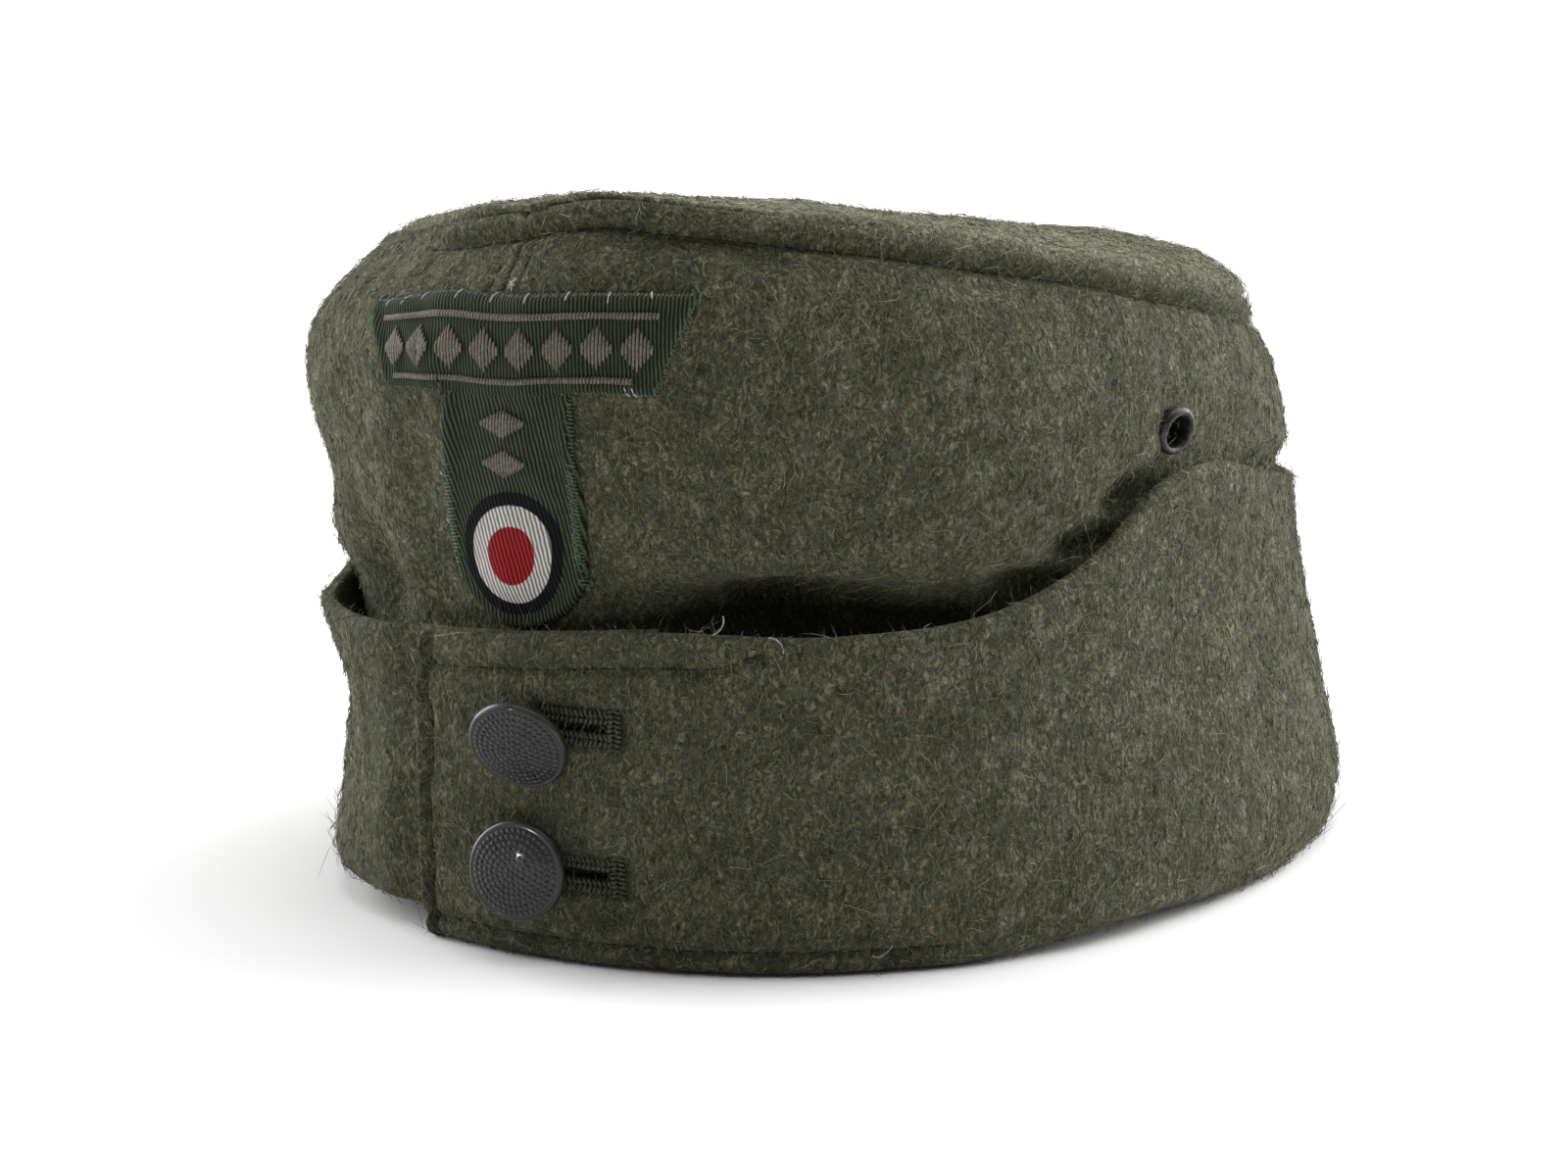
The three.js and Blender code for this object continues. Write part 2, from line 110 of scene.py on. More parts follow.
CROWN_SECTIONS = {
    "height": (0.0, 0.3, 0.45, 0.56, 0.74, 0.89, 1.0),
    "front": (0.945, 0.935, 0.91, 0.945, 0.99, 0.995, 0.92),
    "back": (0.985, 0.965, 0.97, 0.98, 0.99, 0.98, 0.962),
    "left": (0.975, 0.94, 0.93, 0.94, 0.94, 0.905, 0.858),
    "right": (0.88, 0.925, 0.955, 0.975, 1.005, 1.01, 0.845),
    "square": (0.018, 0.018, 0.018, 0.018, 0.018, 0.01, -0.01),
}
FLAP_SECTIONS = {
    "height": (0.0, 0.07, 0.2, 0.41, 0.62),
    "front": (1.0, 1.005, 1.005, 0.99, 0.97),
    "back": (1.052, 1.062, 1.04, 0.99, 0.965),
    "left": (1.055, 1.07, 1.04, 0.98, 0.96),
    "right": (0.92, 0.935, 0.93, 0.95, 0.965),
    "square": (0.028, 0.028, 0.028, 0.028, 0.028),
}
SEAM_LINE = {
    "angle": (-180, -135, -90, -60, -35, -15, 0, 10, 22, 40, 60, 90, 112, 135, 180),
    "height": (0.73, 0.76, 0.855, 0.9, 0.953, 0.985, 1.012, 1.031, 1.024, 0.998, 0.958, 0.877, 0.815,
               0.772, 0.73),
}
FLAP_EDGE = {
    "angle": (-180, -120, -90, -80, -70, -58, -40, -20, 0, 20, 40, 58, 70, 80, 90, 105, 120, 180),
    "height": (0.53, 0.555, 0.595, 0.585, 0.48, 0.42, 0.415, 0.428, 0.445, 0.463, 0.458, 0.477, 0.53, 0.608,
               0.62, 0.58, 0.54, 0.53),
}
UNDER_LIFT = {
    "angle": (-180, -110, -80, -55, -25, 0, 30, 60, 180),
    "height": (0, 0, 0.035, 0.045, 0.032, 0.03, 0.03, 0, 0),
}
TOP_SECTIONS = {
    "angle": (0, 15, 30, 60, 90, 120, 150, 168, 180),
    "rise": (0, 0.022, 0.036, 0.062, 0.075, 0.09, 0.115, 0.11, 0),
    "full": (2.4, 2.4, 2.4, 2.8, 3.4, 4.5, 6, 6, 6),
    "overhang": (0, 0, 0, 0.2, 0.5, 0.9, 1.3, 1.3, 1.3),
}
CROWN_FOLDS = {
    "angle": (45, -38, 93, -88),
    "height": (0.43, 0.46, 0.6, 0.69),
    "round": (0.42, 0.2, 0.2, 0.3),
    "tall": (0.07, 0.07, 0.09, 0.12),
    "depth": (-0.1, -0.02, -0.035, -0.045),
}
FLAP_FOLDS = {
    "angle": (-50, -50),
    "height": (0.29, 0.42),
    "round": (0.35, 0.35),
    "tall": (0.08, 0.07),
    "depth": (-0.02, 0.035),
}

# Smaller soft forms, in the same units, laid on the cloth's face alone. On the crown they are the right
# side's shoulder, upper edge and lower bulge, the hollow and the upright ridge beside the patch, the pocket
# behind the flap's edge and the crease that runs from it up to the eyelet.
CROWN_FORMS = {
    "angle": (-52, -46, -52, -34, -21, 31, 62, 70, 77),
    "height": (0.71, 0.9, 0.5, 0.45, 0.6, 0.44, 0.49, 0.538, 0.597),
    "round": (0.32, 0.25, 0.2, 0.11, 0.055, 0.21, 0.09, 0.09, 0.08),
    "tall": (0.08, 0.045, 0.07, 0.1, 0.2, 0.06, 0.026, 0.024, 0.026),
    "depth": (0.036, 0.028, 0.042, -0.046, 0.022, -0.18, -0.05, -0.068, -0.06),
}
FLAP_FORMS = {
    "angle": (-50, -42, 118),
    "height": (0.38, 0.05, 0.05),
    "round": (0.3, 0.22, 0.45),
    "tall": (0.07, 0.06, 0.05),
    "depth": (0.015, 0.022, 0.006),
}


def smooth(table, by, column, value):
    """Smooth curve through one column of a table, level at both ends."""
    x = np.array(table[by], float)
    y = np.array(table[column], float)
    slope = np.gradient(y, x)
    slope[0] = slope[-1] = 0
    at = np.clip(value, x[0], x[-1])
    i = np.clip(np.searchsorted(x, at, side="right") - 1, 0, len(x) - 2)
    span = x[i + 1] - x[i]
    t = (at - x[i]) / span
    s = t * t * (3 - 2 * t)
    bend = slope[i] * t * (1 - t) ** 2 - slope[i + 1] * t * t * (1 - t)
    return y[i] * (1 - s) + y[i + 1] * s + span * bend


def step(value):
    t = np.clip(value, 0, 1)
    return t * t * (3 - 2 * t)


def hump(distance, width):
    return np.exp(-((distance / width) ** 2))


def wrapped(u):
    return (u + np.pi) % (2 * np.pi) - np.pi


def degrees(u):
    return np.degrees(wrapped(u))


def unit(vectors):
    return vectors / np.maximum(np.linalg.norm(vectors, axis=-1, keepdims=True), 1e-12)


def spaced(*zones):
    """Values through zones of (from, to, step), each in even steps of about that size."""
    values = [np.array([zones[0][0]], float)]
    for start, end, about in zones:
        count = max(1, round(abs(end - start) / about))
        values.append(np.linspace(start, end, count + 1)[1:])
    return np.concatenate(values)


def lumps(points, size, seed):
    """Soft uneven relief, from about -1 to 1, with humps of about that many millimetres."""
    draw = np.random.default_rng(seed)
    total = 0
    for _ in range(8):
        way = unit(draw.normal(size=3))
        turns = 2 * np.pi / size * draw.uniform(0.5, 1.5)
        total = total + np.sin(points @ way * turns + draw.uniform(0, 2 * np.pi))
    return total / 3.2


# Shape of crown, flap and top


def oval(u, height, sections):
    """Point of a section's oval at angle u."""
    share = {key: smooth(sections, "height", key, height) for key in sections if key != "height"}
    corner = 1 + share["square"] * np.sin(2 * u) ** 2
    x = HALF_WIDTH * np.sin(u) * np.where(np.sin(u) > 0, share["left"], share["right"])
    y = -HALF_LENGTH * np.cos(u) * np.where(np.cos(u) > 0, share["front"], share["back"])
    return np.stack([x * corner, y * corner], -1)


def outward(u, height, sections):
    """Level direction out of the oval at angle u."""
    nudge = 0.002
    way = oval(u + nudge, height, sections) - oval(u - nudge, height, sections)
    return unit(np.stack([way[..., 1], -way[..., 0]], -1))


def fold_depth(u, z, folds):
    depth = 0
    for angle, height, round_, tall, deep in zip(*[folds[key] for key in folds]):
        along = wrapped(u - math.radians(angle)) / round_
        up = (z / CROWN_HEIGHT - height) / tall
        depth = depth + deep * HALF_WIDTH * np.exp(-(along ** 2) - up ** 2)
    return depth


def seam_height(u):
    return CROWN_HEIGHT * smooth(SEAM_LINE, "angle", "height", degrees(u))


def flap_height(u):
    return CROWN_HEIGHT * smooth(FLAP_EDGE, "angle", "height", degrees(u))


def lift(u):
    return CROWN_HEIGHT * np.maximum(smooth(UNDER_LIFT, "angle", "height", degrees(u)), 0)


def behind(u):
    """1 where the lower flap end lies behind the overlapping one, 0 elsewhere."""
    before = step((wrapped(u) - TAB_ANGLE + math.radians(9)) / math.radians(7))
    after = 1 - step((wrapped(u) - UNDER_ANGLE - math.radians(1)) / math.radians(5))
    return before * after


def flap(u, z, depth=0.0):
    """Point of the flap at angle u and height z, a depth inside its outermost face."""
    u, z, depth = np.broadcast_arrays(np.asarray(u, float), z, depth)
    height = z / CROWN_HEIGHT
    out = outward(u, height, FLAP_SECTIONS)
    at = oval(u, height, FLAP_SECTIONS) + out * (fold_depth(u, z, FLAP_FOLDS) - depth)[..., None]
    return np.concatenate([at, z[..., None]], -1)


def crown(u, share):
    """Point of the crown's face at angle u and a share of its height there, held clear of the flap."""
    u, share = np.broadcast_arrays(np.asarray(u, float), share)
    z = share * seam_height(u)
    out = outward(u, share, CROWN_SECTIONS)
    at = oval(u, share, CROWN_SECTIONS) + out * fold_depth(u, z, CROWN_FOLDS)[..., None]
    wall = flap(u, z, FLAP_CLOTH + FLAP_EASE + LAYER * behind(u))[..., :2]
    over = ((at - wall) * out).sum(-1)
    free = np.maximum(z - flap_height(u) - CLOTH, 0) / 2
    at = at - out * np.maximum(over - free, 0)[..., None]
    return np.concatenate([at, z[..., None]], -1)


def top(u, across):
    """Point of the top panel at angle u from front to back, across from -1, the wearer's right, to 1."""
    u, across = np.broadcast_arrays(np.asarray(u, float), across)
    left = crown(u, 1.0)
    right = crown(-u, 1.0)
    angle = np.degrees(u)
    rise = CROWN_HEIGHT * smooth(TOP_SECTIONS, "angle", "rise", angle)
    full = smooth(TOP_SECTIONS, "angle", "full", angle)
    overhang = smooth(TOP_SECTIONS, "angle", "overhang", angle)
    size = np.abs(across)
    wide = np.sign(across) * (size + overhang * (1 - size) * size ** 3)
    at = right + (left - right) * ((wide + 1) / 2)[..., None]
    level = right[..., 2] + (left[..., 2] - right[..., 2]) * (across + 1) / 2
    at[..., 2] = level + rise * (1 - size ** full)
    return at


def crown_normal(u, share):
    """Direction out of the crown's face."""
    nudge = 0.004
    high = np.minimum(share + nudge, 1)
    low = np.maximum(share - nudge, 0)
    way = crown(u + nudge, share) - crown(u - nudge, share)
    return unit(np.cross(way, crown(u, high) - crown(u, low)))


def grid_normals(grid, sign=1):
    return unit(sign * np.cross(np.gradient(grid, axis=0), np.gradient(grid, axis=1)))


# Relief of the cloth


def crown_relief(u, share, points):
    """How far the crown's cloth stands out: the top seam's ridge and groove, other seams, soft humps."""
    below = (1 - share) * seam_height(u)
    angle = degrees(u)
    fades = step((angle + 24) / 16) + step((-60 - angle) / 30)
    ridge = 1.1 * hump(below - 1.5, 1.1) * fades
    broad = hump(angle - 25, 14)
    groove = -(1.5 * hump(below - SEAM_STITCHES, 0.8) + 1.3 * broad * hump(below - 5.2, 2.0)) * fades
    groove = groove * (1 - 0.6 * step((angle - 95) / 25))
    ridge = ridge * (1 - 0.7 * step((angle - 104) / 20))
    front = np.abs(wrapped(u)) * FRONT_BEND
    back = (np.pi - np.abs(wrapped(u))) * FRONT_BEND
    seams = -0.4 * hump(front, 0.8) - 0.35 * hump(front - FRONT_STITCHES, 0.6) - 0.7 * hump(back, 0.9)
    return ridge + groove + seams + crown_swell(u, share, points)


def crown_swell(u, share, points):
    """The crown's soft forms and humps, without its seams."""
    forms = fold_depth(u, share * seam_height(u), CROWN_FORMS)
    return forms + 0.45 * lumps(points, 26, 3) + 0.2 * lumps(points, 9, 5)


def crown_skin(u, share):
    points = crown(u, share)
    return points + crown_normal(u, share) * crown_relief(u, share, points)[..., None]


def edge_stitches(u):
    """How far below the flap's edge the tab's upper row of stitches runs."""
    return 5.6 - 3.0 * step((degrees(u) - 24) / 8)


def flap_relief(u, z, foot, points):
    """How far the flap's cloth stands out: its stitch lines, the rolled end and soft humps."""
    low = z - foot
    high = flap_height(u) - z
    end = (wrapped(u) - TAB_ANGLE) * FRONT_BEND
    on_tab = end >= 0
    top_stitched = 1 - step((degrees(u) - 30) / 2)
    low_stitched = 1 - step((degrees(u) - 44) / 8)
    puckered = 0.3 * np.sin(end / 2.3) + 0.2 * np.sin(end / 0.9)
    groove = -1.05 * hump(high - edge_stitches(u) + puckered, 0.95) * top_stitched
    groove = groove - 0.9 * hump(low - FOOT_STITCHES + 0.6 * puckered, 0.85) * low_stitched
    wander = 0.4 * np.sin(z / 3.1) + 0.25 * np.sin(z / 1.3 + 1)
    rolled = 0.9 * hump(end - 0.8, 0.8) - 0.95 * hump(end - END_STITCHES + wander, 0.55)
    forms = fold_depth(u, z, FLAP_FORMS) - 0.4 * drawn_in_and_shaded(u, z)
    return forms + groove + rolled * on_tab + 0.3 * lumps(points, 24, 11) + 0.12 * lumps(points, 8, 13)


def drawn_in_and_shaded(u, z):
    """Share, from 0 to 1, in which the tab's cloth is drawn in under its buttonhole stitches. The wool's
    colour is also painted dark by it there, as painted shade between the threads.
    """
    along = wrapped(u) * FRONT_BEND
    within = step((along - HOLE_START - 3) / 2) * step((HOLE_END + 3.6 - along) / 0.8)
    return within * sum(step((3.9 - np.abs(z - height)) / 0.9) for height in hole_heights())


# Meshes


def raw_shift():
    """How far the cap's middle lies from the middle of its shape functions, in millimetres."""
    u = np.linspace(TAB_ANGLE, np.pi - SEAM_GAP, 400)[:, None]
    z = np.linspace(FOLD_RADIUS, CROWN_HEIGHT / 2, 80)
    face = flap(u, np.minimum(z, flap_height(u)))
    low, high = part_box("flap_left")
    return np.array([high.x / MM - face[..., 0].max(), high.y / MM - face[..., 1].max(), 0])


SHIFT = raw_shift()


def mesh_piece(name, points, faces, material):
    """A smooth mesh from points in millimetres and lists of faces, each with as many corners as the other."""
    mesh = bpy.data.meshes.new(name)
    sizes = np.concatenate([np.full(len(group), group.shape[1]) for group in faces])
    corners = np.concatenate([group.ravel() for group in faces])
    mesh.vertices.add(len(points))
    mesh.vertices.foreach_set("co", ((points + SHIFT) * MM).astype(np.float32).ravel())
    mesh.loops.add(len(corners))
    mesh.loops.foreach_set("vertex_index", corners.astype(np.int32))
    mesh.polygons.add(len(sizes))
    mesh.polygons.foreach_set("loop_start", np.concatenate([[0], np.cumsum(sizes)[:-1]]).astype(np.int32))
    mesh.polygons.foreach_set("loop_total", sizes.astype(np.int32))
    mesh.polygons.foreach_set("use_smooth", np.ones(len(sizes), bool))
    mesh.update(calc_edges=True)
    mesh.validate()
    piece = bpy.data.objects.new(name, mesh)
    bpy.context.scene.collection.objects.link(piece)
    mesh.materials.append(material)
    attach(piece, "root")
    return piece


def wall_between(outer, inner, covers=None):
    """Points and faces of the closed wall between an outer and an inner grid, over the cells it covers."""
    rows, columns = outer.shape[:2]
    if covers is None:
        covers = np.ones((rows - 1, columns - 1), bool)
    numbers = np.arange(rows * columns).reshape(rows, columns)
    a, b, c, d = numbers[:-1, :-1], numbers[1:, :-1], numbers[1:, 1:], numbers[:-1, 1:]
    under = rows * columns
    framed = np.pad(covers, 1)
    faces = [
        np.stack([a, b, c, d], -1)[covers],
        np.stack([a, d, c, b], -1)[covers] + under,
    ]
    sides = [
        (a, b, covers & ~framed[1:-1, :-2]),
        (b, c, covers & ~framed[2:, 1:-1]),
        (c, d, covers & ~framed[1:-1, 2:]),
        (d, a, covers & ~framed[:-2, 1:-1]),
    ]
    for start, end, open_ in sides:
        faces.append(np.stack([end, start, start + under, end + under], -1)[open_])
    points = np.concatenate([outer.reshape(-1, 3), inner.reshape(-1, 3)])
    faces = np.concatenate(faces)
    used, faces = np.unique(faces, return_inverse=True)
    return points[used], faces.reshape(-1, 4)


def carry(piece, name, points, grids, values):
    """Gives each point of a piece the value, or three values, at its place in the grids it was made from."""
    places = np.concatenate([np.round(grid.reshape(-1, 3), 5) for grid in grids])
    width = 3 if values.ndim == 3 else 1
    held = np.concatenate([values.reshape(-1, width)] * len(grids))
    lookup = {tuple(place): value for place, value in zip(places, held)}
    found = np.array([lookup[tuple(place)] for place in np.round(points, 5)], np.float32)
    kind, field = ("FLOAT_VECTOR", "vector") if width == 3 else ("FLOAT", "value")
    piece.data.attributes.new(name, kind, "POINT").data.foreach_set(field, found.ravel())


def outward_faces(points, faces):
    """The faces, all turned round if they face into the closed body."""
    a, b, c = points[faces[:, 0]], points[faces[:, 1]], points[faces[:, 2]]
    d = points[faces[:, 3]]
    volume = (a * np.cross(b, c)).sum() + (a * np.cross(c, d)).sum()
    return faces if volume > 0 else faces[:, ::-1]


def tidy_mesh(piece, nearer=0.004):
    """Joins points nearer than that many millimetres and drops what has no area."""
    shape = bmesh.new()
    shape.from_mesh(piece.data)
    bmesh.ops.remove_doubles(shape, verts=shape.verts, dist=nearer * MM)
    bmesh.ops.dissolve_degenerate(shape, edges=shape.edges, dist=nearer * MM)
    shape.to_mesh(piece.data)
    shape.free()


def rounded(distance, half):
    """Share of a cloth's half thickness that is left at that distance from its rounded edge."""
    inside = np.clip(1 - distance / half, 0, 1)
    return np.sqrt(np.maximum(1 - inside ** 2, 1e-4))


# Materials


class Finish:
    """A material whose nodes are made one at a time."""

    def __init__(self, name):
        self.material = bpy.data.materials.new(name)
        self.material.use_nodes = True
        self.tree = self.material.node_tree
        self.tree.nodes.clear()

    def node(self, kind, values=(), **settings):
        """A node with its settings, and its inputs joined or set."""
        made = self.tree.nodes.new("ShaderNode" + kind)
        for key, value in settings.items():
            setattr(made, key, value)
        for key, value in dict(values).items():
            self.feed(made.inputs[key], value)
        return made

    def feed(self, socket, value):
        """Joins an input to a node's output, or sets it to a constant."""
        if isinstance(value, bpy.types.NodeSocket):
            self.tree.links.new(value, socket)
        else:
            socket.default_value = value

    def millimetres(self):
        place = self.node("TexCoord").outputs["Object"]
        return self.node("Mapping", {"Vector": place, "Scale": (1 / MM,) * 3}).outputs[0]

    def attribute(self, name, output="Fac"):
        return self.node("Attribute", attribute_name=name).outputs[output]

    def math(self, operation, a, b=0.0, c=0.0):
        return self.node("Math", {0: a, 1: b, 2: c}, operation=operation).outputs[0]

    def times(self, a, b):
        return self.math("MULTIPLY", a, b)

    def noise(self, place, scale=1.0, detail=2.0, rough=0.5, output="Fac"):
        values = {"Vector": place, "Scale": scale, "Detail": detail, "Roughness": rough}
        return self.node("TexNoise", values).outputs[output]

    def mapped(self, place, scale=(1, 1, 1), turn=(0, 0, 0), move=(0, 0, 0)):
        values = {"Vector": place, "Scale": scale, "Location": move}
        values["Rotation"] = tuple(math.radians(angle) for angle in turn)
        return self.node("Mapping", values).outputs[0]

    def ranged(self, value, low, high, to_low=0.0, to_high=1.0):
        values = {"Value": value, "From Min": low, "From Max": high, "To Min": to_low, "To Max": to_high}
        return self.node("MapRange", values).outputs[0]

    def ramp(self, value, *stops):
        """Colours at places from 0 to 1."""
        made = self.node("ValToRGB", {0: value})
        band = made.color_ramp
        while len(band.elements) < len(stops):
            band.elements.new(0.5)
        for element, (place, colour) in zip(band.elements, stops):
            element.position = place
            element.color = (*colour, 1)
        return made.outputs[0]

    def mix(self, share, a, b):
        """Colour that lies that share of the way from a to b."""
        made = self.node("Mix", data_type="RGBA")
        sockets = {socket.identifier: socket for socket in [*made.inputs, *made.outputs]}
        for key, value in (("Factor_Float", share), ("A_Color", a), ("B_Color", b)):
            self.feed(sockets[key], (*value, 1) if isinstance(value, tuple) else value)
        return sockets["Result_Color"]

    def bump(self, height, distance, strength=1.0):
        values = {"Height": height, "Distance": distance * MM, "Strength": strength}
        return self.node("Bump", values).outputs[0]

    def surface(self, values):
        shader = self.node("BsdfPrincipled", values)
        output = self.tree.nodes.new("ShaderNodeOutputMaterial")
        self.tree.links.new(shader.outputs[0], output.inputs[0])
        return self.material


WOOL_DARK = (0.010, 0.011, 0.006)
WOOL_MID = (0.058, 0.060, 0.034)
WOOL_LIGHT = (0.26, 0.25, 0.152)
WOOL_BLUE = (0.072, 0.088, 0.084)
WOOL_BROWN = (0.105, 0.078, 0.040)
WOOL_FLECK = (0.25, 0.12, 0.03)
HAIR_TONES = (
    (0.0, WOOL_DARK), (0.4, (0.058, 0.060, 0.032)), (0.75, (0.20, 0.195, 0.115)), (1.0, (0.40, 0.385, 0.25)),
)


# Scales a colour by a factor; over 1 it paints the colour lighter, as painted light.
def painted_lighter(colour, painted_light_factor):
    return tuple(painted_light_factor * part for part in colour)


def wool_finish(name, grain, painted_light_factor=1.0, sheen=0.12):
    """Felted wool of mixed hairs. The grain gives how many streaks there are in a millimetre each way, and a
    painted-light factor over 1 paints all its colours lighter.
    """
    make = Finish(name)
    dark, mid, light = (painted_lighter(colour, painted_light_factor) for colour in (WOOL_DARK, WOOL_MID, WOOL_LIGHT))
    place = make.millimetres()
    drift = make.noise(place, 0.42, 2, output="Color")
    drift = make.node("VectorMath", {0: drift, 1: (0.5,) * 3}, operation="SUBTRACT").outputs[0]
    drift = make.node("VectorMath", {0: drift, "Scale": 3.2}, operation="SCALE").outputs[0]
    bent = make.node("VectorMath", {0: place, 1: drift}, operation="ADD").outputs[0]
    hair = make.noise(make.mapped(bent, grain), 1.0, 3, 0.65)
    cross = make.noise(make.mapped(bent, (1.6, 0.5, 1.8), (0, 0, 35)), 1.0, 2, 0.65)
    slant = make.noise(make.mapped(bent, (2.0, 0.9, 0.5), (20, 35, 0)), 1.0, 2, 0.65)
    blotch = make.noise(place, 0.13, 3, 0.6)
    # The colour follows the same streaks as the bump below and is darker where the cloth lies low: partly the
    # mixed tones of the hairs, partly painted shade in the hollows between them.
    depth = make.math("MULTIPLY_ADD", hair, 0.44, make.times(cross, 0.26))
    depth = make.math("MULTIPLY_ADD", slant, 0.30, depth)
    tone = make.math("MULTIPLY_ADD", blotch, 0.16, make.times(depth, 0.84))
    shade = make.ranged(tone, 0.37, 0.63)
    colour = make.ramp(shade, (0.0, dark), (0.5, mid), (1.0, light))
    cool = make.ranged(make.noise(place, 0.7, 2, 0.7), 0.54, 0.66, 0.0, 0.55)
    other = make.noise(make.mapped(place, move=(41, 7, 3)), 0.85, 2, 0.7)
    warm = make.ranged(other, 0.57, 0.69, 0.0, 0.55)
    rare = make.noise(make.mapped(place, move=(-19, 31, 12)), 0.6, 1)
    colour = make.mix(cool, colour, WOOL_BLUE)
    colour = make.mix(warm, colour, WOOL_BROWN)
    colour = make.mix(make.ranged(rare, 0.76, 0.80, 0.0, 0.7), colour, WOOL_FLECK)
    curl = make.noise(make.mapped(bent, (0.9, 0.9, 0.7), move=(5, 3, 9)), 1.0, 1)
    strand = make.ranged(make.math("ABSOLUTE", make.math("SUBTRACT", curl, 0.5)), 0.016, 0.0)
    patchy = make.ranged(make.noise(place, 0.3, 2), 0.42, 0.58)
    colour = make.mix(make.times(make.times(strand, patchy), 0.55), colour, light)
    # Painted shade: the wool under the buttonhole stitches is painted nearly black, for the shadow between
    # the threads.
    sewn = make.times(make.attribute("drawn_in_and_shaded"), 0.8)
    colour = make.mix(sewn, colour, (0.006, 0.007, 0.004))
    bump = make.bump(make.math("MULTIPLY_ADD", strand, 0.12, depth), 1.3, 1.0)
    return make.surface({
        "Base Color": colour,
        "Roughness": 0.95,
        "Normal": bump,
        "Sheen Weight": sheen,
        "Sheen Roughness": 0.4,
        "Sheen Tint": (0.75, 0.76, 0.60, 1),
        "Specular IOR Level": 0.15,
    })


def nap_finish(name, painted_light_factor=1.0):
    """Single hairs, each with its own tone; a painted-light factor over 1 paints them lighter."""
    make = Finish(name)
    tone = make.attribute("tone")
    colour = make.ramp(tone, *((place, painted_lighter(colour, painted_light_factor)) for place, colour in HAIR_TONES))
    tint = make.attribute("tint")
    colour = make.mix(make.ranged(tint, 0.75, 1.0, 0.0, 0.6), colour, (0.12, 0.14, 0.135))
    colour = make.mix(make.ranged(tint, 0.2, 0.0, 0.0, 0.6), colour, (0.17, 0.125, 0.065))
    return make.surface({"Base Color": colour, "Roughness": 0.7, "Specular IOR Level": 0.25})


def thread_finish(name, dark, light, gloss=0.6):
    """Sewing thread: darker and lighter strands with a soft shine."""
    make = Finish(name)
    place = make.millimetres()
    strands = make.noise(make.mapped(place, (2.2, 2.2, 2.2)), 1.0, 3, 0.6)
    colour = make.mix(make.ranged(strands, 0.35, 0.65), dark, light)
    fine = make.noise(place, 6.0, 2)
    return make.surface({
        "Base Color": colour,
        "Roughness": gloss,
        "Normal": make.bump(fine, 0.08, 0.6),
        "Specular IOR Level": 0.3,
    })


def patch_finish():
    """Twill in dark green with a black, white and red roundel woven in. The weave attribute gives the place
    on the patch in millimetres."""
    make = Finish("green twill with roundel")
    place = make.attribute("weave", "Vector")
    parts = make.node("SeparateXYZ", {0: place})
    across, height = parts.outputs[0], parts.outputs[1]
    sway = make.noise(place, 0.5, 2)
    swayed = make.math("MULTIPLY_ADD", sway, 0.4, across)
    in_bar = make.math("GREATER_THAN", height, PATCH_BAR_FOOT)
    leant = make.math("MULTIPLY_ADD", height, make.ranged(in_bar, 0, 1, 0.22, 0.05), swayed)
    turns = make.times(leant, make.ranged(in_bar, 0, 1, 2 * math.pi / 0.74, 2 * math.pi / 0.62))
    wave = make.ranged(make.math("SINE", turns), -1, 1)
    picks = make.math("SINE", make.math("MULTIPLY_ADD", height, 2 * math.pi / 0.5, turns))
    rib = make.math("MULTIPLY_ADD", picks, 0.14, wave)
    mottle = make.noise(place, 0.5, 3, 0.6)
    greens = ((0.1, (0.005, 0.008, 0.004)), (0.5, (0.021, 0.030, 0.017)), (0.95, (0.070, 0.090, 0.052)))
    green = make.ramp(rib, *greens)
    green = make.mix(make.ranged(mottle, 0.4, 0.7, 0.0, 0.5), green, (0.014, 0.021, 0.012))
    away_z = make.math("ADD", make.math("MULTIPLY_ADD", picks, 0.08, height), -ROUNDEL_HEIGHT)
    away_x = make.math("ADD", across, -ROUNDEL_ACROSS)
    away_x = make.times(make.math("MULTIPLY_ADD", away_z, -ROUNDEL_LEAN, away_x), 1 / ROUNDEL_NARROW)
    squares = make.math("ADD", make.math("POWER", away_x, 2.0), make.math("POWER", away_z, 2.0))
    reach = make.math("SQRT", squares)
    thread = make.ranged(rib, 0.12, 0.75)
    white = make.mix(thread, (0.13, 0.12, 0.11), (0.62, 0.60, 0.56))
    white = make.mix(make.ranged(mottle, 0.45, 0.75, 0.0, 0.3), white, (0.30, 0.28, 0.25))
    red = make.mix(thread, (0.075, 0.003, 0.004), (0.34, 0.016, 0.021))
    black = make.mix(thread, (0.0012, 0.0015, 0.0015), (0.006, 0.007, 0.007))
    colour = green
    for radius, disc in ((ROUNDEL_BLACK, black), (ROUNDEL_WHITE, white), (ROUNDEL_RED, red)):
        colour = make.mix(make.ranged(reach, radius, radius - 0.15), colour, disc)
    return make.surface({
        "Base Color": colour,
        "Roughness": 0.85,
        "Normal": make.bump(rib, 0.22, 1.0),
        "Specular IOR Level": 0.12,
    })


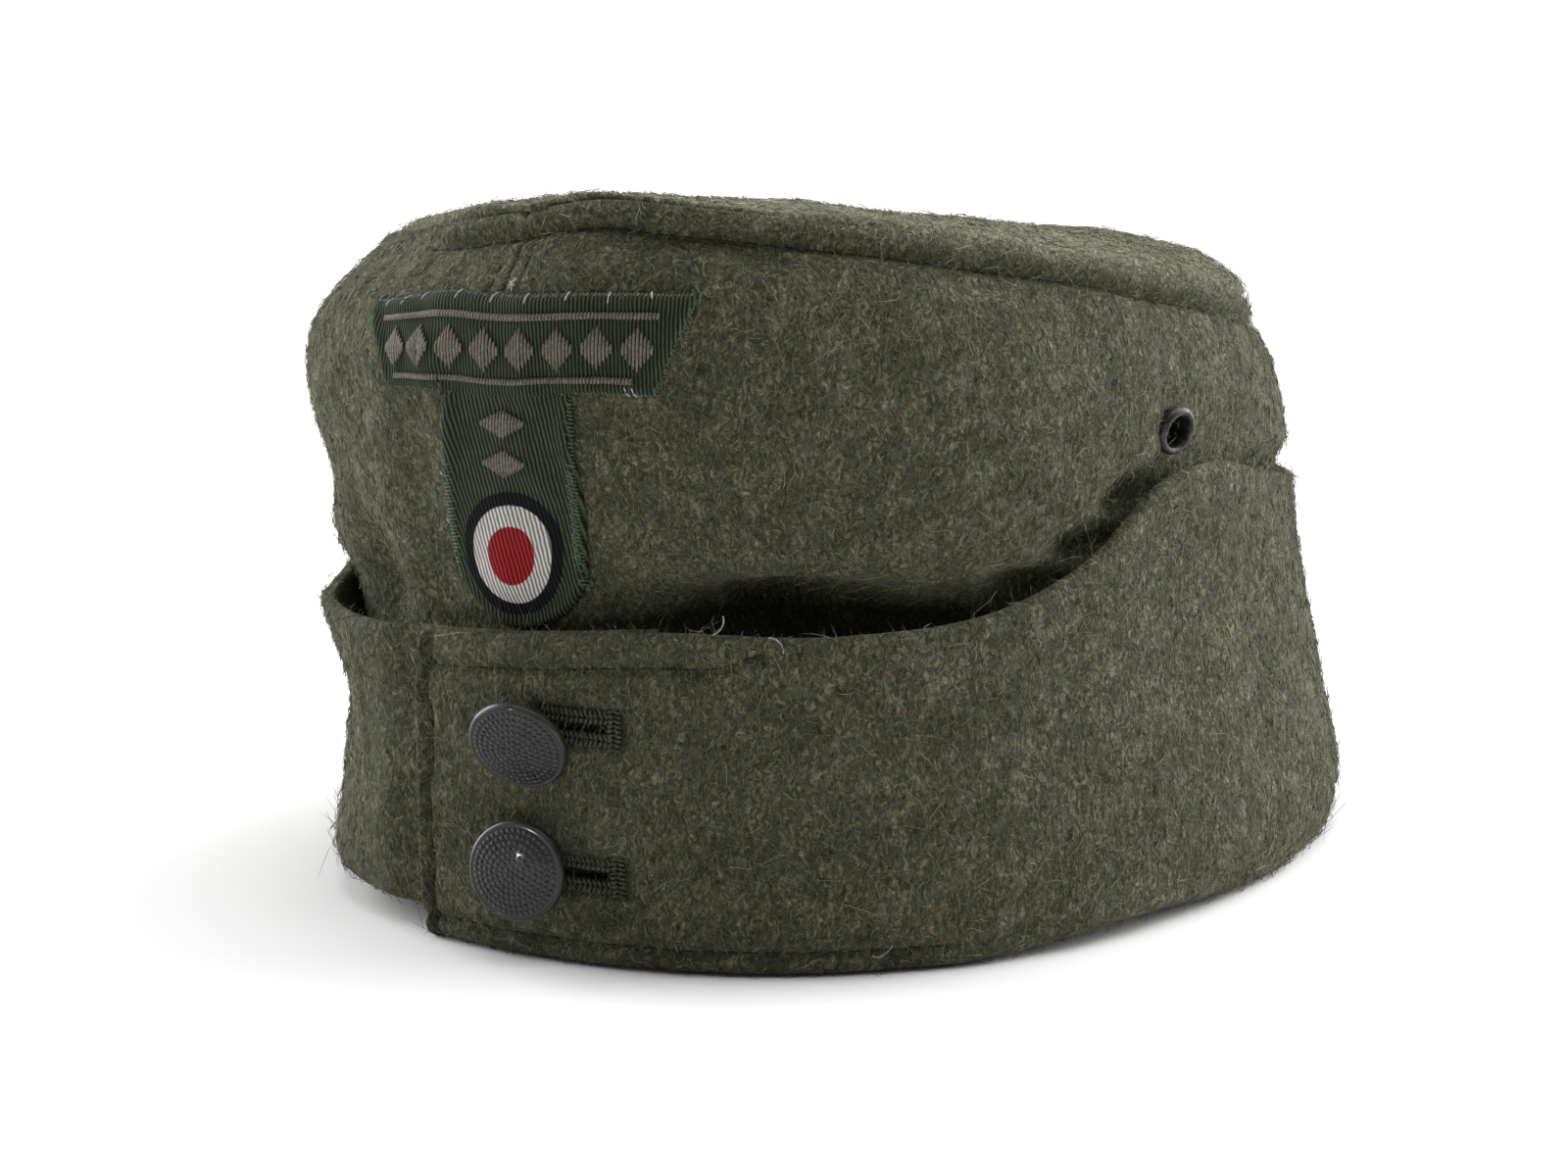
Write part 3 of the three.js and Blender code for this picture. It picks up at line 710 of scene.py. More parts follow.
def paint_finish():
    """Dark grey paint, thin and pale on the high spots of rim and pebbles."""
    make = Finish("worn grey button paint")
    place = make.millimetres()
    grime = make.noise(place, 0.9, 4, 0.6)
    grain = make.noise(place, 7.0, 3, 0.6)
    edge = make.node("NewGeometry").outputs["Pointiness"]
    worn = make.times(make.ranged(edge, 0.53, 0.60), make.ranged(grime, 0.40, 0.62))
    colour = make.mix(make.ranged(grime, 0.3, 0.7), (0.007, 0.007, 0.006), (0.012, 0.012, 0.011))
    colour = make.mix(worn, colour, (0.045, 0.044, 0.040))
    rough = make.ranged(grime, 0.3, 0.7, 0.45, 0.6)
    return make.surface({
        "Base Color": colour,
        "Roughness": rough,
        "Metallic": 0.0,
        "Normal": make.bump(grain, 0.05, 0.5),
        "Specular IOR Level": 0.3,
        "Coat Weight": 0.3,
        "Coat Roughness": 0.13,
    })


def blackened_finish():
    """Blackened metal, rubbed grey in patches."""
    make = Finish("blackened eyelet metal")
    place = make.millimetres()
    grime = make.noise(place, 1.3, 4, 0.6)
    grain = make.noise(place, 8.0, 2)
    colour = make.mix(make.ranged(grime, 0.38, 0.66), (0.012, 0.011, 0.010), (0.06, 0.057, 0.052))
    return make.surface({
        "Base Color": colour,
        "Roughness": make.ranged(grime, 0.3, 0.7, 0.5, 0.28),
        "Metallic": 0.6,
        "Normal": make.bump(grain, 0.04, 0.5),
    })


wool = wool_finish("heathered wool", (1.9, 1.9, 0.42))
# Painted light: the top's wool and hair are the sides' wool and hair made 1.4 and 1.35 times lighter, for the
# stronger light on the top.
top_wool_painted_lighter = wool_finish("heathered wool of the top, painted lighter", (1.8, 0.7, 1.9), 1.4, 0.3)
hair = nap_finish("wool hair")
top_hair_painted_lighter = nap_finish("wool hair of the top, painted lighter", 1.35)
twill = patch_finish()
paint = paint_finish()
blackened = blackened_finish()
seam_thread = thread_finish("dark green sewing thread", (0.008, 0.009, 0.006), (0.028, 0.030, 0.020), 0.8)
purl_thread = thread_finish("grey-green buttonhole thread", (0.018, 0.020, 0.012), (0.080, 0.083, 0.050), 0.8)
motif_thread = thread_finish("grey-brown motif thread", (0.062, 0.056, 0.040), (0.17, 0.155, 0.12), 0.5)
edge_thread = thread_finish("green edging thread", (0.022, 0.034, 0.019), (0.085, 0.118, 0.068), 0.6)
white_thread = thread_finish("pale sewing thread", (0.20, 0.20, 0.19), (0.45, 0.45, 0.43), 0.6)


# Cloth pieces


def crown_columns():
    edge = 6 / FRONT_BEND
    near = 0.6 / FRONT_BEND
    middle = (edge, np.pi - edge, 1.5 / FRONT_BEND)
    return spaced((SEAM_GAP, edge, near), middle, (np.pi - edge, np.pi - SEAM_GAP, near))


def crown_side(name, node, side):
    """Half of the crown, doubled round its eyelet hole."""
    u = side * crown_columns()[:, None]
    full = seam_height(u)
    foot = lift(u) + FLAP_CLOTH + CLEARANCE
    hidden = flap_height(u) - 6
    seam_zone = full - 8
    low = foot + (hidden - foot) * np.linspace(0, 1, 10)[:-1]
    middle = hidden + (seam_zone - hidden) * np.linspace(0, 1, 40)[:-1]
    high = seam_zone + (full - seam_zone) * np.linspace(0, 1, 18)
    share = np.concatenate([low, middle, high], 1) / full
    face = crown(u, share)
    normal = crown_normal(u, share)
    outer = face + normal * crown_relief(u, share, face)[..., None]
    inner = outer - normal * CLOTH
    rim = outward(u[:, 0], np.ones(len(u)), CROWN_SECTIONS)
    inner[:, -1, :2] = outer[:, -1, :2] - rim * 0.9 * CLOTH
    inner[:, -1, 2] = outer[:, -1, 2] - 0.6 * CLOTH
    inner[:, 0, 2] = outer[:, 0, 2]
    at, out = eyelet_place(side)
    middle_points = (outer[:-1, :-1] + outer[1:, 1:]) / 2
    away = middle_points - at
    sideways = away - (away @ out)[..., None] * out
    covers = np.linalg.norm(sideways, axis=-1) > EYELET_BORE + 0.7
    covers |= np.abs(away @ out) > 4 * CLOTH
    points, faces = wall_between(outer, inner, covers)
    piece = mesh_piece(name, points, [outward_faces(points, faces)], wool)
    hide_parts(node)
    return piece, outer, normal


def eyelet_place(side):
    """Point of the crown's face under an eyelet, and the direction out of it."""
    u = side * EYELET_ANGLE
    share = (flap_height(u) + EYELET_CLEAR + EYELET_RADIUS) / seam_height(u)
    return crown(u, share), crown_normal(u, share)


def crown_top():
    """The puffed top panel."""
    tip = 0.12
    back = np.linspace(np.pi - tip, np.pi, 12)[1:]
    along = np.concatenate([np.linspace(0, tip, 12)[:-1], np.linspace(tip, np.pi - tip, 120), back])
    across = np.sin(np.linspace(-1, 1, 61) * np.pi / 2)
    u = along[:, None]
    face = top(u, across)
    normal = grid_normals(face, -1)
    bad = np.linalg.norm(normal, axis=-1) < 0.5
    normal[bad] = (0, 0, 1)
    normal[normal[..., 2] < 0] *= -1
    left = crown(along, np.ones(len(along)))
    right = crown(-along, np.ones(len(along)))
    half_way = np.linalg.norm(left - right, axis=1)[:, None] / 2
    rim = (1 - np.abs(across)) * half_way
    angle = np.degrees(u)
    forms = -2.8 * hump(angle - 154, 20)
    relief = forms + 0.5 * lumps(face, 30, 21) + 0.25 * lumps(face, 10, 23)
    shoulder = hump(angle - 42, 24) * (across < 0)
    crease = -0.85 * hump(rim - 1.0, 1.0) * (1 - shoulder)
    relief = relief * step(rim / 7) + crease + 0.6 * hump(rim - 4.5, 2.5)
    relief = np.where(half_way > 3, relief, 0)
    outer = face + normal * relief[..., None]
    inner = outer - normal * CLOTH
    slant = outward(np.where(across[None, :] < 0, -u, u), np.ones((len(along), len(across))), CROWN_SECTIONS)
    through = np.concatenate([-0.9 * slant, np.full(slant.shape[:2] + (1,), -0.6)], -1) * CLOTH
    mixed = step(rim / (4 * CLOTH))[..., None]
    inner = outer + through * (1 - mixed) - normal * CLOTH * mixed
    points, faces = wall_between(outer, inner)
    piece = mesh_piece("crown_top_cloth", points, [outward_faces(points, faces)], top_wool_painted_lighter)
    tidy_mesh(piece)
    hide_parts("crown_top")
    return piece, outer, normal


def flap_rows():
    """Steps along the flap's section: depth, height over the foot, share of the way up to its edge, and
    the outward and downward parts of the direction that its outer face looks in."""
    half = FLAP_CLOTH / 2
    bend = FOLD_RADIUS - half
    edge = half * (1 - np.cos(np.radians([0, 15, 30, 45, 60, 75, 90])))
    rows = []
    for inwards in np.concatenate([TURN_IN - edge, np.linspace(TURN_IN - half, FOLD_RADIUS, 7)[1:]]):
        rows.append((inwards, half, 0, 0.0, 1.0, TURN_IN - inwards))
    for turn in np.radians(np.linspace(90, 0, 13)[1:]):
        depth = FOLD_RADIUS - bend * math.cos(turn)
        height = FOLD_RADIUS - bend * math.sin(turn)
        rows.append((depth, height, 0, math.cos(turn), math.sin(turn), 99))
    return rows, edge


def hole_heights():
    return [button["height"] for button in BUTTONS.values()]


def flap_side(name, node, side):
    """Half of the turned-up flap, with its folded foot, rounded edges and, on the tab, its buttonholes."""
    half = FLAP_CLOTH / 2
    rows, edge = flap_rows()
    start = TAB_ANGLE if side > 0 else -np.pi + SEAM_GAP
    end = np.pi - SEAM_GAP if side > 0 else UNDER_ANGLE
    near = edge / FRONT_BEND
    zone = 6 / FRONT_BEND
    slit = np.array([HOLE_START, HOLE_END]) / FRONT_BEND
    front = spaced((start + near[-1], start + zone, 0.45 / FRONT_BEND))[1:]
    before_slit = [(start + zone, slit[0], 0.9 / FRONT_BEND), (slit[0], slit[1], 0.8 / FRONT_BEND)]
    after_slit = (slit[1] if side > 0 else start + zone, end - zone, 1.5 / FRONT_BEND)
    middle = spaced(*(before_slit if side > 0 else []), after_slit)[1:]
    back = spaced((end - zone, end - near[-1], 0.45 / FRONT_BEND))[1:]
    u = np.concatenate([start + near, front, middle, back, end - near[::-1][1:]])[:, None]
    foot = lift(u) if side < 0 else 2.2 * hump(degrees(u) - 72, 14)
    full = flap_height(u)
    upper, lower = hole_heights()
    gap = HOLE_HALF
    heights = spaced(
        (FOLD_RADIUS, 11, 0.55),
        (11, lower - gap, 1.3),
        (lower - gap, lower + gap, 2 * gap),
        (lower + gap, upper - gap, 1.5),
        (upper - gap, upper + gap, 2 * gap),
        (upper + gap, 40, 1.3),
    )[1:]
    below = 10.0
    risen = foot + heights * (full - below - foot) / (full - below) if side < 0 else foot + heights
    stretch = risen[:, -1:] + (full - below - risen[:, -1:]) * np.linspace(0, 1, 9)[1:-1]
    close = full - spaced((below, half, 0.55))
    round_edge = full - edge[::-1][1:]
    z_wall = np.concatenate([risen, stretch, close, round_edge], 1)
    count = z_wall.shape[1]
    depth = np.array([row[0] for row in rows] + [half] * count)
    z = np.concatenate([foot + np.array([row[1] for row in rows]), z_wall], 1)
    out_part = np.array([row[3] for row in rows] + [1.0] * count)
    down_part = np.array([row[4] for row in rows] + [0.0] * count)
    on_foot = np.broadcast_to([row[5] for row in rows], (len(u), len(rows)))
    to_edge = np.concatenate([on_foot, full - z_wall], 1)
    to_end = np.minimum(u - start, end - u) * FRONT_BEND
    thick = half * rounded(to_edge, half) * rounded(to_end, half)
    wave = 0.45 * np.sin(z / 8.5 + 0.6) + 0.2 * np.sin(z / 3.3)
    shifted = u + wave * np.exp(-np.abs(u - (start if side > 0 else end)) * FRONT_BEND / 4) / FRONT_BEND
    middle_face = flap(shifted, z, depth + LAYER * behind(u) * (side < 0))
    out = outward(shifted, z / CROWN_HEIGHT, FLAP_SECTIONS)
    down = np.broadcast_to(-down_part[:, None], out.shape[:2] + (1,))
    look = np.concatenate([out * out_part[:, None], down], -1)
    cloth_relief = flap_relief if side > 0 else under_relief
    relief = cloth_relief(u, z, foot, middle_face) * rounded(to_edge, half) * out_part
    outer = middle_face + look * (thick + relief)[..., None]
    inner = middle_face - look * (thick - 0.5 * relief)[..., None]
    covers = np.ones((len(u) - 1, z.shape[1] - 1), bool)
    if side > 0:
        mid_u = (u[1:, 0] + u[:-1, 0]) / 2 * FRONT_BEND
        mid_z = (z[0, 1:] + z[0, :-1]) / 2
        for height in hole_heights():
            hole = (mid_u > HOLE_START) & (mid_u < HOLE_END)
            covers &= ~(hole[:, None] & (np.abs(mid_z - height) < gap))
    points, faces = wall_between(outer, inner, covers)
    piece = mesh_piece(name, points, [outward_faces(points, faces)], wool)
    carry(piece, "drawn_in_and_shaded", points, (outer, inner), drawn_in_and_shaded(u + 0 * z, z) if side > 0 else 0 * z)
    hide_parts(node)
    first_wall = len(rows) - 8
    return piece, outer[:, first_wall:], look[:, first_wall:]


def under_relief(u, z, foot, points):
    """Relief of the lower flap end: its two stitch lines and soft humps."""
    high = flap_height(u) - z
    stitched = step((degrees(u) + 60) / 10)
    groove = -0.45 * stitched * hump(high - 5, 0.6) - 0.45 * stitched * hump(z - foot - 4, 0.6)
    forms = fold_depth(u, z, FLAP_FORMS)
    return forms + groove + 0.3 * lumps(points, 24, 17) + 0.12 * lumps(points, 8, 19)


# Nap: short hairs on the cloth


def scatter(grid, count, draw):
    """Places spread evenly over a grid's surface, and the direction of its columns there."""
    across = grid[1:, :-1] - grid[:-1, :-1]
    along = grid[:-1, 1:] - grid[:-1, :-1]
    area = np.linalg.norm(np.cross(across, along), axis=-1).ravel()
    cell = draw.choice(len(area), count, p=area / area.sum())
    i, j = np.divmod(cell, grid.shape[1] - 1)
    s, t = draw.random((2, count, 1))
    place = grid[i, j] * (1 - s) * (1 - t) + grid[i + 1, j] * s * (1 - t)
    place = place + grid[i, j + 1] * (1 - s) * t + grid[i + 1, j + 1] * s * t
    return place, unit(grid[i, j + 1] - grid[i, j]), i, j


def rooted(grid, look, count, seed):
    """Places for hairs, three directions at each and a seeded source, with a function that draws a column
    of even values from it."""
    draw = np.random.default_rng(seed)
    place, up, i, j = scatter(grid, count, draw)
    out = look[i, j]

    def drawn(low, high):
        return draw.uniform(low, high, (count, 1))

    return place, up, out, unit(np.cross(up, out)), draw, drawn


def three_round(middle, girth, first, second):
    """Three points round each hair's middle."""
    return [middle + girth * (math.cos(a) * first + math.sin(a) * second) for a in (0, 2.0944, 4.1888)]


def hair_piece(name, rings, fan, tones, tint, material):
    """A piece of many hairs, from the points and faces of each and its tones and tint."""
    points = np.stack(rings, 1).reshape(-1, 3)
    points[:, 2] = np.maximum(points[:, 2], 0.05)
    faces = np.arange(len(tint))[:, None, None] * len(rings) + np.array(fan)
    piece = mesh_piece(name, points, [faces.reshape(-1, 3)], material or hair)
    for key, values in (("tone", tones), ("tint", np.repeat(tint, len(rings)))):
        piece.data.attributes.new(key, "FLOAT", "POINT").data.foreach_set("value", values.astype(np.float32))
    return piece


def nap(name, grid, look, count, seed, steep=0.35, material=None):
    """A field of short bent hairs that lie along the cloth, a share of them steep out of it."""
    place, up, out, side, draw, drawn = rooted(grid, look, count, seed)
    way = draw.choice([-1, 1], (count, 1), p=[0.6, 0.4])
    raised = drawn(0, 1) < steep
    rise = np.where(raised, drawn(0.5, 2.2), drawn(0.05, 0.35))
    heading = unit(up * way + side * draw.normal(0, 0.85, (count, 1)) + out * rise)
    length = np.where(raised, drawn(0.4, 1.25), draw.gamma(5, 0.40, (count, 1)).clip(0.8, 4.5))
    thick = (drawn(0, 1) > 0.6) & ~raised
    girth = np.where(thick, drawn(0.075, 0.12), drawn(0.04, 0.075))
    first = unit(np.cross(heading, out + 0.01))
    second = np.cross(heading, first)
    root = place - out * 0.12
    bow = (first * draw.normal(0, 0.17, (count, 1)) + out * drawn(0, 0.12)) * length
    middle = root + heading * length * 0.5 + bow
    rings = [root, *three_round(middle, girth, first, second), root + heading * length]
    fan = [[2, 1, 0], [3, 2, 0], [1, 3, 0], [1, 2, 4], [2, 3, 4], [3, 1, 4]]
    tone = draw.beta(1.7, 2.3, count) * 0.85 + 0.15 * thick[:, 0]
    # Painted shade: each hair is painted darker towards its root, where it goes into the cloth.
    tones = np.stack([tone * 0.4, *[tone * 0.9] * 3, tone], 1).ravel()
    return hair_piece(name, rings, fan, tones, draw.random(count), material)


def long_hairs(name, grid, look, count, seed, material=None):
    """Long fine hairs that curl over the cloth."""
    root, up, out, side, draw, drawn = rooted(grid, look, count, seed)
    angle = draw.normal(0, 1.0, (count, 1)) + np.pi * (drawn(0, 1) > 0.55)
    heading = up * np.cos(angle) + side * np.sin(angle)
    aside = np.cross(out, heading)
    length = draw.gamma(6, 0.75, (count, 1)).clip(2.2, 9)
    curl = draw.normal(0, 0.38, (count, 1))
    swing = draw.normal(0, 0.16, (count, 1))
    high = drawn(0.08, 0.4)
    girth = drawn(0.035, 0.062)

    def at(share):
        bent = heading * share + aside * (curl * share ** 2 + swing * math.sin(5.5 * share))
        return root + bent * length + out * (4 * high * share * (1 - share) - 0.1)

    rings = [at(0)]
    for share in (0.35, 0.7):
        rings += three_round(at(share), girth, out, aside)
    rings.append(at(1))
    fan = [[0, 1, 2], [0, 2, 3], [0, 3, 1], [7, 5, 4], [7, 6, 5], [7, 4, 6]]
    for n in range(3):
        m = (n + 1) % 3
        fan += [[1 + n, 4 + n, 1 + m], [1 + m, 4 + n, 4 + m]]
    tone = 0.42 + 0.58 * draw.beta(2.0, 2.2, count)
    return hair_piece(name, rings, fan, np.repeat(tone, len(rings)), draw.random(count), material)


# Threads


def thread_shape(sides=6):
    """A short thread lying along X, thin at both ends: rings of points, and its faces."""
    along = np.array([-0.5, -0.38, 0.0, 0.38, 0.5])
    girth = np.array([0.25, 0.85, 1.0, 0.85, 0.25])
    turn = np.arange(sides) * 2 * np.pi / sides
    round_x = np.stack([np.zeros(sides), np.cos(turn), np.sin(turn)], 1)
    rings = [g * round_x + (x, 0, 0) for x, g in zip(along, girth)]
    quads = []
    for ring in range(len(along) - 1):
        for n in range(sides):
            m = (n + 1) % sides
            quads.append([ring * sides + n, ring * sides + m, (ring + 1) * sides + m, (ring + 1) * sides + n])
    last = (len(along) - 1) * sides
    caps = [list(range(sides))[::-1], [last + n for n in range(sides)]]
    return np.concatenate(rings), np.array(quads), np.array(caps)


def threads(name, starts, ends, out, girth, arch, material):
    """Short threads from starts to ends, each arched out of the cloth and down into it at its ends."""
    shape, quads, caps = thread_shape()
    starts, ends, out = (np.asarray(a, float) for a in (starts, ends, out))
    along = ends - starts
    length = np.linalg.norm(along, axis=1, keepdims=True)
    along = along / np.maximum(length, 1e-9)
    side = unit(np.cross(out, along))
    lifted = np.cross(along, side)
    x, y, z = shape[:, 0], shape[:, 1], shape[:, 2]
    bow = np.maximum(arch, 0.05 * length) * (1 - (2 * x) ** 2)
    middle = (starts + ends) / 2
    girth = np.broadcast_to(np.asarray(girth, float).reshape(-1, 1, 1), (len(starts), 1, 1))
    points = middle[:, None] + along[:, None] * (x[:, None] * length[:, None])
    points = points + side[:, None] * y[:, None] * girth
    points = points + lifted[:, None] * (z[:, None] * girth + bow[..., None])
    base = np.arange(len(starts))[:, None, None] * len(shape)
    faces = [(base + quads).reshape(-1, 4)[:, ::-1], (base + caps).reshape(-1, caps.shape[1])[:, ::-1]]
    return mesh_piece(name, points.reshape(-1, 3), faces, material)


def flap_face(u, z, raised=0.0):
    """Point of the tab's outer face at angle u and height z, and the direction out of it."""
    u, z = np.broadcast_arrays(np.asarray(u, float), np.asarray(z, float))
    points = flap(u, z, FLAP_CLOTH / 2)
    out = outward(u, z / CROWN_HEIGHT, FLAP_SECTIONS)
    out = np.concatenate([out, np.zeros(out.shape[:-1] + (1,))], -1)
    relief = flap_relief(u, z, np.zeros_like(u), points)
    return points + out * (FLAP_CLOTH / 2 + relief + raised)[..., None], out


def stitches(line, out, first=0.4, room=STITCH):
    """Starts, ends and facings of stitches along a line of close points, that leaves some room at its end."""
    walked = np.concatenate([[0], np.cumsum(np.linalg.norm(np.diff(line, axis=0), axis=1))])
    starts = np.arange(first, walked[-1] - room, STITCH + STITCH_GAP)

    def at(places, values):
        return np.stack([np.interp(places, walked, values[:, k]) for k in range(3)], 1)

    return at(starts, line), at(starts + STITCH, line), unit(at(starts, out))


def sewn(name, lines, girth, arch):
    """Threads along lines of stitches."""
    starts, ends, out = (np.concatenate(part) for part in zip(*lines))
    return threads(name, starts, ends, out, girth, arch, seam_thread)


def tab_stitching():
    """Lines of stitches down the tab's end, along its edge and along its foot."""
    end = TAB_ANGLE + END_STITCHES / FRONT_BEND
    along_edge = np.linspace(end, math.radians(32), 260)
    along_foot = np.linspace(end, math.radians(48), 300)
    lines = [
        stitches(*flap_face(np.full(200, end), np.linspace(5, 48, 200))),
        stitches(*flap_face(along_edge, flap_height(along_edge) - edge_stitches(along_edge))),
        stitches(*flap_face(along_foot, np.full(300, FOOT_STITCHES))),
    ]
    return sewn("tab_stitching", lines, 0.17, 0.12)


def buttonhole_stitches(name, height):
    """Zigzag stitches along both lips of a buttonhole and across its end."""
    starts, ends = [], []
    for lip in (-1, 1):
        for along in np.arange(HOLE_START + 6, HOLE_END + 1.0, 0.8):
            near, peak, far = height + lip * HOLE_HALF, height + lip * 1.7, height + lip * 3.0
            starts += [(along, near), (along + 0.45, peak)]
            ends += [(along + 0.45, peak), (along - 0.05, far)]
    for z in np.arange(height - 3.2, height + 3.21, 0.75):
        starts += [(HOLE_END + 0.4, z), (HOLE_END + 1.5, z + 0.35)]
        ends += [(HOLE_END + 1.5, z + 0.35), (HOLE_END + 2.7, z)]
    starts, ends = np.array(starts).T, np.array(ends).T
    first, out = flap_face(starts[0] / FRONT_BEND, starts[1], raised=0.1)
    last, _ = flap_face(ends[0] / FRONT_BEND, ends[1], raised=0.1)
    return threads(name, first, last, out, 0.28, 0.3, purl_thread)


def loose_threads():
    """Ends of pale thread that stick out at the flap's edge and its foot."""
    starts, ends = [], []
    reach = 4
    for angle, z, turn, coil in ((25, 0.2, 0.3, 0.25), (31, 0.3, 0.1, -0.3), (40, -50.5, -0.7, 0.4)):
        bend = turn + coil * 6 * np.linspace(0, 1, 12)
        u = math.radians(angle) + np.cumsum(np.cos(bend)) * reach / 12 / FRONT_BEND
        height = flap_height(u) + z + np.cumsum(np.sin(bend)) * reach / 12
        line, _ = flap_face(u, height, raised=0.5)
        starts.append(line[:-1])
        ends.append(line[1:])
    starts, ends = np.concatenate(starts), np.concatenate(ends)
    out = np.broadcast_to(unit(np.array([0.5, -0.85, 0.15])), starts.shape)
    return threads("loose_threads", starts, ends, out, 0.11, 0.0, white_thread)


def crown_stitching():
    """The row of stitches that lies in the groove below the top seam, and those beside the front seam."""
    places = []
    for first, last in ((-20, 176), (-176, -70)):
        u = np.radians(np.linspace(first, last, 500))
        places.append((u, 1 - SEAM_STITCHES / seam_height(u)))
    for aside in (-FRONT_STITCHES, FRONT_STITCHES):
        places.append((np.full(60, aside / FRONT_BEND), np.linspace(0.9, 0.965, 60)))
    lines = [stitches(crown_skin(*place), crown_normal(*place), 0.3, 2.8) for place in places]
    return sewn("crown_stitching", lines, 0.16, 0.1)


# Patch


def patch_half(z):
    """Half the bar's length at height z."""
    t = (z - PATCH_BAR_FOOT) / (PATCH_TOP - PATCH_BAR_FOOT)
    return PATCH_BAR_HALF + (PATCH_TOP_HALF - PATCH_BAR_HALF) * t


def sewn_place(across, z):
    """Angle and share of the crown's height at which a point of the patch lies. The patch was sewn on a
    little aslant, with its right wing hanging."""
    across, z = np.broadcast_arrays(np.asarray(across, float), np.asarray(z, float))
    up_bar = (z - PATCH_BAR_FOOT) / (PATCH_TOP - PATCH_BAR_FOOT)
    aside = 0.9 + np.where(up_bar > 0, 1.2 * up_bar, 0.085 * (z - PATCH_BAR_FOOT))
    aside = aside + 0.15 * np.maximum(-PATCH_STEM_HALF - across, 0)
    sag = 1.3 * step((18 - across) / 22)
    sag = sag + 3.3 * step((-6 - across) / 26) * (0.25 + 0.75 * np.clip(up_bar, 0, 1))
    u = (across + aside) / FRONT_BEND
    return u, (z - sag) / seam_height(u)


def patch_point(across, z, height):
    """Point a height over the crown's cloth, at a place of the patch."""
    u, share = sewn_place(across, z)
    ground = crown(u, share)
    return ground + crown_normal(u, share) * (crown_swell(u, share, ground) + height)[..., None]


def stem_half(z):
    """Half the stem's width, which is round at its lower end."""
    low = np.clip((PATCH_END - z) / PATCH_END_RADIUS, 0, 1)
    wide = PATCH_STEM_HALF - 1.5 * step((z - 70) / 20)
    return wide * np.sqrt(np.maximum(1 - low ** 2, 0))


def roundel_reach(across, z):
    """Distance from the roundel's middle, in its own round units: it is a little narrower than tall."""
    sideways = (across - ROUNDEL_ACROSS - ROUNDEL_LEAN * (z - ROUNDEL_HEIGHT)) / ROUNDEL_NARROW
    return np.hypot(sideways, z - ROUNDEL_HEIGHT)


def patch_height(across, z):
    """Heights of the patch's under and outer face over the cloth, and the distance to its nearest edge."""
    across, z = np.broadcast_arrays(np.asarray(across, float), np.asarray(z, float))
    in_bar = z >= PATCH_BAR_FOOT - 1e-6
    side_edge = np.where(in_bar, patch_half(z), stem_half(z)) - np.abs(across)
    wing_foot = np.where((np.abs(across) > stem_half(z)) & in_bar, z - PATCH_BAR_FOOT, 99)
    round_end = PATCH_END_RADIUS - np.hypot(across * PATCH_END_RADIUS / PATCH_STEM_HALF, PATCH_END - z)
    round_end = np.where(z < PATCH_END, round_end, 99)
    to_edge = np.minimum(np.minimum(side_edge, PATCH_TOP - z), np.minimum(wing_foot, round_end))
    to_edge = np.maximum(to_edge, 0)
    away = roundel_reach(across, z)
    raised = 0.22 * step((ROUNDEL_BLACK + 0.4 - away) / 0.8) + 0.12 * step((ROUNDEL_WHITE + 0.3 - away) / 0.6)
    spot = np.stack([across, z, np.zeros_like(across)], -1)
    base = 0.3 + 0.3 * lumps(spot, 16, 33) ** 2
    face = base + rounded(to_edge, 0.7) + 0.45 * hump(to_edge - 1.3, 1.0) + raised + 0.12 * lumps(spot, 9, 31)
    return base, face


def patch_cloth():
    """The T of twill, with rolled edges and a raised roundel."""
    low = PATCH_END - (PATCH_END - PATCH_FOOT) * np.sin(np.linspace(np.pi / 2, 0, 24))
    bar = np.linspace(PATCH_BAR_FOOT, PATCH_TOP, 28)[1:]
    z = np.concatenate([low, np.linspace(PATCH_END, PATCH_BAR_FOOT, 48)[1:], bar])
    wing = np.linspace(1, 2, 31)[1:]
    column = np.concatenate([-wing[::-1], np.linspace(-1, 1, 46), wing])[:, None]
    over = np.clip(np.abs(column) - 1, 0, 1) * (patch_half(z) - stem_half(z))
    across = np.sign(column) * (np.minimum(np.abs(column), 1) * stem_half(z) + over)
    spot = np.stack([across, np.broadcast_to(z, across.shape), np.zeros_like(across)], -1)
    base, face = patch_height(across, z)
    outer = patch_point(across, z, face)
    inner = patch_point(across, z, base)
    keep = (z[:-1] > PATCH_BAR_FOOT - 1e-6)[None, :] | (np.abs(column[:-1] + column[1:]) < 2)
    points, faces = wall_between(outer, inner, keep)
    piece = mesh_piece("patch_twill", points, [outward_faces(points, faces)], twill)
    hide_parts("cap_patch")
    carry(piece, "weave", points, (outer, inner), spot)
    return piece


def patch_thread(name, starts, ends, over, girth, arch, material):
    """Threads a little over the patch's face, from starts to ends given as lengths across and heights."""
    starts, ends = np.array(starts).T, np.array(ends).T
    first, last = (patch_point(*at, patch_height(*at)[1] + over) for at in (starts, ends))
    out = crown_normal(*sewn_place(*(starts + ends) / 2))
    return threads(name, first, last, out, girth, arch, material)


